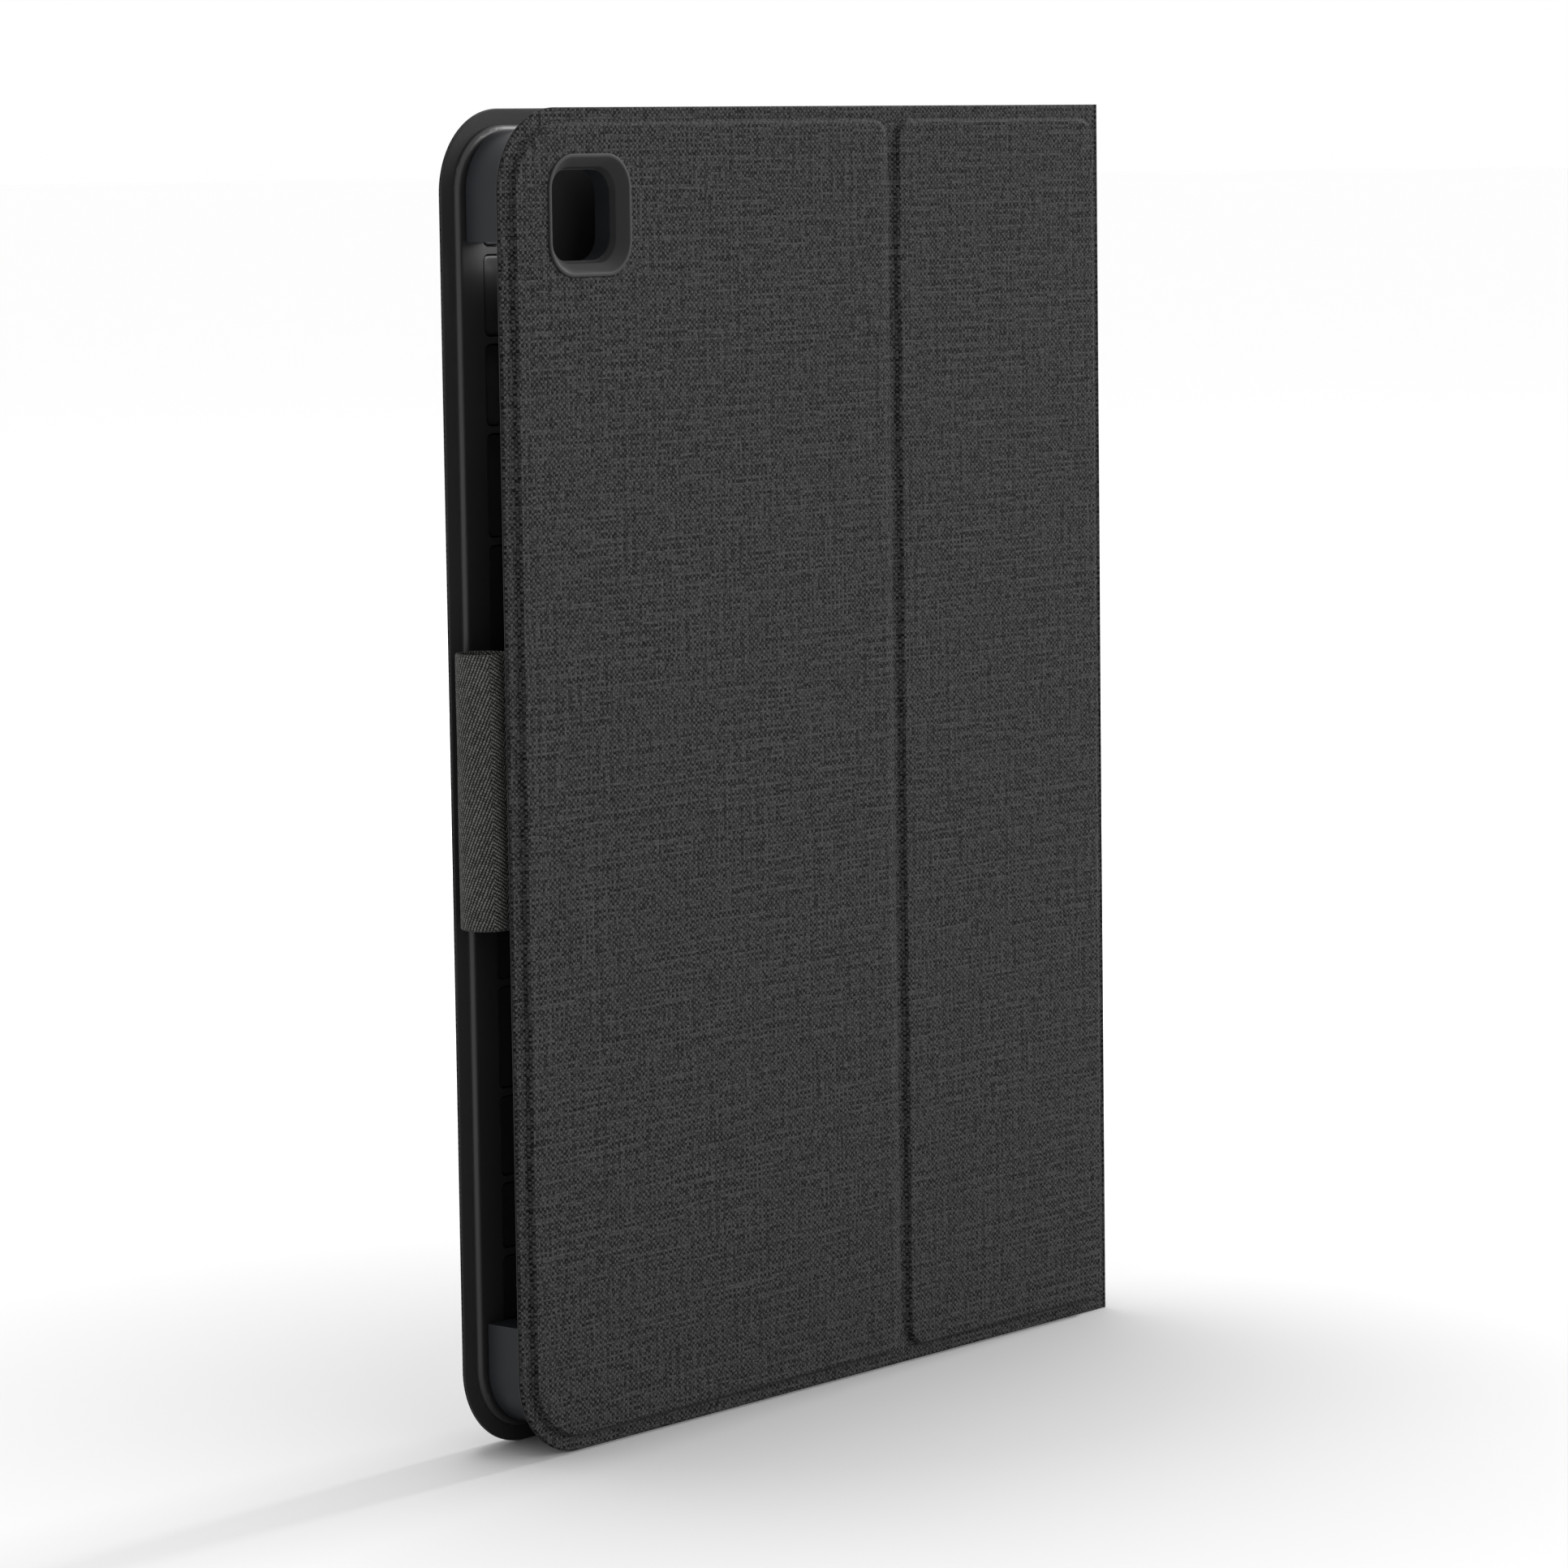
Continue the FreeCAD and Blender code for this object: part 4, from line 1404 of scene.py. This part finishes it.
@dataclass
class KeyLegends(SubAssembly):
    """Plain key legends.

    A row is its node, how far above and to the right of each cap's middle it is printed, and
    its words from left to right.
    """

    size: float = 4.6
    small: float = 2.7
    sunk: float = 0.105
    depth: float = 0.05
    low_cap: float = 12.0
    rows: tuple = (
        ("function_row_keys", 0.0, 0.0, "esc F1 F2 F3 F4 F5 F6 F7 F8 F9 F10 F11 F12 ins"),
        ("number_row_keys", 0.0, 0.0, "` 1 2 3 4 5 6 7 8 9 0 - ="),
        ("delete_key", 0.0, 0.0, "del"),
        ("tab_key", 0.0, 0.0, "tab"),
        ("upper_row_keys", 0.0, 0.0, "Q W E R T Y U I O P [ ] \\"),
        ("caps_key", 0.0, 0.0, "caps"),
        ("home_row_keys", 0.0, 0.0, "A S D F G H J K L ; '"),
        ("return_key", 0.0, 0.0, "enter"),
        ("left_shift_key", -2.2, 8.5, "shift"),
        ("lower_row_keys", 0.0, 0.0, "Z X C V B N M , . /"),
        ("right_shift_key", -2.2, -8.5, "shift"),
        ("front_row_keys", 3.4, 0.0, "fn ctrl sym alt alt ctrl"),
        ("arrow_left_key", 2.6, 0.0, "<"),
        ("arrow_up_key", 0.0, 0.0, "^"),
        ("arrow_down_key", 2.0, 0.0, "v"),
        ("arrow_right_key", 2.6, 0.0, ">"),
    )

    def word(self, text: str) -> tuple[np.ndarray, list[list[int]]]:
        """Outline one word in the plain built-in face, centred on its own middle.

        Args:
            text: the word.

        Returns:
            Points across, up and out in millimetres, and the faces.
        """
        curve = bpy.data.curves.new("legend", "FONT")
        curve.body = text
        curve.align_x, curve.align_y = "CENTER", "CENTER"
        curve.size = self.size if len(text) == 1 else self.small
        curve.extrude = self.depth / 2
        curve.resolution_u = 3
        source = bpy.data.objects.new("legend", curve)
        mesh = bpy.data.meshes.new_from_object(source)
        shape = bmesh.new()
        shape.from_mesh(mesh)
        bmesh.ops.remove_doubles(shape, verts=shape.verts, dist=1e-4)
        bmesh.ops.recalc_face_normals(shape, faces=shape.faces)
        points = np.array([vertex.co[:] for vertex in shape.verts])
        faces = [[vertex.index for vertex in face.verts] for face in shape.faces]
        shape.free()
        bpy.data.objects.remove(source)
        bpy.data.curves.remove(curve)
        bpy.data.meshes.remove(mesh)
        return points, faces

    def row(self, node: str, lift: float, aside: float, words: str) -> bpy.types.Object:
        """Print a node's words, left to right, which is from high z to low z.

        Longer words, and signs on low caps, are sunk half as deep, because the dish is
        shallower there.

        Args:
            node: a packed key node.
            lift: how far above the cap's middle.
            aside: how far right of it.
            words: one word for each cap.

        Returns:
            The row's legends as one piece.
        """
        low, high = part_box(node)
        points, faces, used = [], [], 0
        for text, (z0, z1) in zip(words.split(), reversed(key_spans(node))):
            outline, sides = self.word(text)
            middle_x, middle_z = (low.x + high.x) / 2 / MM, (z0 + z1) / 2 / MM
            shallow = len(text) > 1 or (high.x - low.x) / MM < self.low_cap
            sunk = self.sunk / 2 if shallow else self.sunk
            face_y = low.y / MM + sunk + self.depth / 2
            across, up, out = outline.T
            x, z = middle_x + lift + up, middle_z - aside - across
            points.append(np.stack([x, face_y - out, z], axis=-1) * MM)
            faces += [[corner + used for corner in side] for side in sides]
            used += len(outline)
        return make_piece(node + "_legends", np.concatenate(points), faces, smooth=False)

    def build(self) -> None:
        """Print every row on the body that carries its node."""
        bodies = frame["record"]["behaviour"]["bodies"].items()
        for node, lift, aside, words in self.rows:
            body = next(name for name, nodes in bodies if node in nodes)
            finish_piece(self.row(node, lift, aside, words), body, "key_plastic", self.finishes.legend)


# ---- studio -------------------------------------------------------------------------------------
@dataclass(frozen=True)
class SoftLight:
    """A square soft light.

    Args:
        name: its name.
        place: where it hangs, in metres.
        aim: the point it faces.
        size: its side, in metres.
        power: in watts.
        floor: EXCLUDE keeps it off the floor, INCLUDE on the floor alone, and empty is neither.
    """

    name: str
    place: tuple[float, float, float]
    aim: tuple[float, float, float]
    size: float
    power: float
    floor: str = ""

    def hang(self, floor: bpy.types.Object) -> None:
        """Hang the light and link it to what it may reach.

        Args:
            floor: the floor.
        """
        data = bpy.data.lights.new(self.name, "AREA")
        data.shape = "SQUARE"
        data.size = self.size
        data.energy = self.power
        lamp = bpy.data.objects.new(self.name, data)
        lamp.location = self.place
        lamp.rotation_euler = (Vector(self.aim) - Vector(self.place)).to_track_quat("-Z", "Y").to_euler()
        bpy.context.scene.collection.objects.link(lamp)
        if self.floor:
            reach = bpy.data.collections.new(self.name + " reach")
            reach.objects.link(floor)
            reach.collection_objects[0].light_linking.link_state = self.floor
            lamp.light_linking.receiver_collection = reach


@dataclass
class Studio:
    """Pale floor, white surroundings, three soft lights and the camera."""

    eye: tuple[float, float, float] = (-0.88316, -0.74826, 0.25363)
    yaw: float = 49.683
    pitch: float = 6.391
    roll: float = -0.789
    lens: float = 130.34
    clip: tuple[float, float] = (0.05, 120.0)
    floor_size: float = 80.0
    # near, far and the two tones set the floor's painted shade: darkest within near of the case, white
    # beyond far.
    near: float = 0.08
    far: float = 0.9
    near_tone: tuple = (0.47, 0.47, 0.47)
    far_tone: tuple = (0.985, 0.985, 0.985)
    lights: tuple[SoftLight, ...] = (
        SoftLight("key", (3.4, -2.7, 2.1), (0.0, 0.0, 0.12), 3.2, 262.0, "EXCLUDE"),
        SoftLight("fill", (0.15, 0.32, 1.9), (0.0, 0.0, 0.0), 0.9, 23.0, "INCLUDE"),
        SoftLight("side", (1.6, 0.0, 0.95), (0.0, 0.0, 0.05), 0.24, 24.0),
    )

    def camera(self) -> None:
        """Aim the camera: forward from yaw and pitch, then roll about it."""
        yaw, pitch, roll = (math.radians(value) for value in (self.yaw, self.pitch, self.roll))
        ahead = Vector((math.sin(yaw) * math.cos(pitch), math.cos(yaw) * math.cos(pitch), -math.sin(pitch)))
        level = Vector((math.cos(yaw), -math.sin(yaw), 0.0))
        over = level.cross(ahead)
        right = level * math.cos(roll) + over * math.sin(roll)
        up = over * math.cos(roll) - level * math.sin(roll)
        data = bpy.data.cameras.new("camera")
        data.lens = self.lens
        data.sensor_width = 36.0
        data.clip_start, data.clip_end = self.clip
        camera = bpy.data.objects.new("camera", data)
        turn = Matrix((right, up, -ahead)).transposed().to_4x4()
        camera.matrix_world = Matrix.Translation(self.eye) @ turn
        bpy.context.scene.collection.objects.link(camera)
        bpy.context.scene.camera = camera

    def floor(self) -> bpy.types.Object:
        """Lay the floor under the case's lowest point; its colour is a painted shade, darkest near the
        case, paling away from it.

        Returns:
            The floor.
        """
        low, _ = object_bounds()
        half = self.floor_size / 2
        corners = np.array([(-half, -half), (half, -half), (half, half), (-half, half)])
        points = np.concatenate([corners, np.full((4, 1), low.z)], axis=1)
        floor = make_piece("floor", points, [[0, 1, 2, 3]], smooth=False)
        graph = Graph("pale floor", Roughness=0.9, Specular_IOR_Level=0.1)
        x, y, _ = graph.place()
        # Painted shade: the floor's colour darkens towards the case.
        away = (x * x + y * y).math("SQRT") * 0.001
        fade = ((away - self.near) * (1.0 / (self.far - self.near))).clamp()
        graph.colour(graph.tint(fade, self.near_tone, self.far_tone))
        floor.data.materials.append(graph.material)
        floor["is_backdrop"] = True
        return floor

    def build(self) -> None:
        """Set the surroundings, camera, floor and lights."""
        scene = bpy.context.scene
        scene.view_settings.view_transform = "Standard"
        scene.view_settings.look = "None"
        world = bpy.data.worlds.new("surroundings")
        world.use_nodes = True
        background = next(node for node in world.node_tree.nodes if node.type == "BACKGROUND")
        background.inputs["Color"].default_value = (1.0, 1.0, 1.0, 1.0)
        background.inputs["Strength"].default_value = 1.0
        scene.world = world
        self.camera()
        floor = self.floor()
        for light in self.lights:
            light.hang(floor)
        LOG.info("studio: floor, surroundings, three soft lights and the camera")


def main() -> None:
    """Build the case class by class."""
    logging.basicConfig(level=logging.INFO, format="%(message)s")
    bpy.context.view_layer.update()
    covers = CoverFrame.from_lining()
    finishes = Finishes()
    finishes.dress_nodes()
    for assembly in (Covers, CameraBezel, StylusLoop, SpineCloth, KeyCaps, KeyLegends):
        assembly(covers, finishes).build()
    Studio().build()
    bpy.context.view_layer.update()


if __name__ == "__main__":
    main()
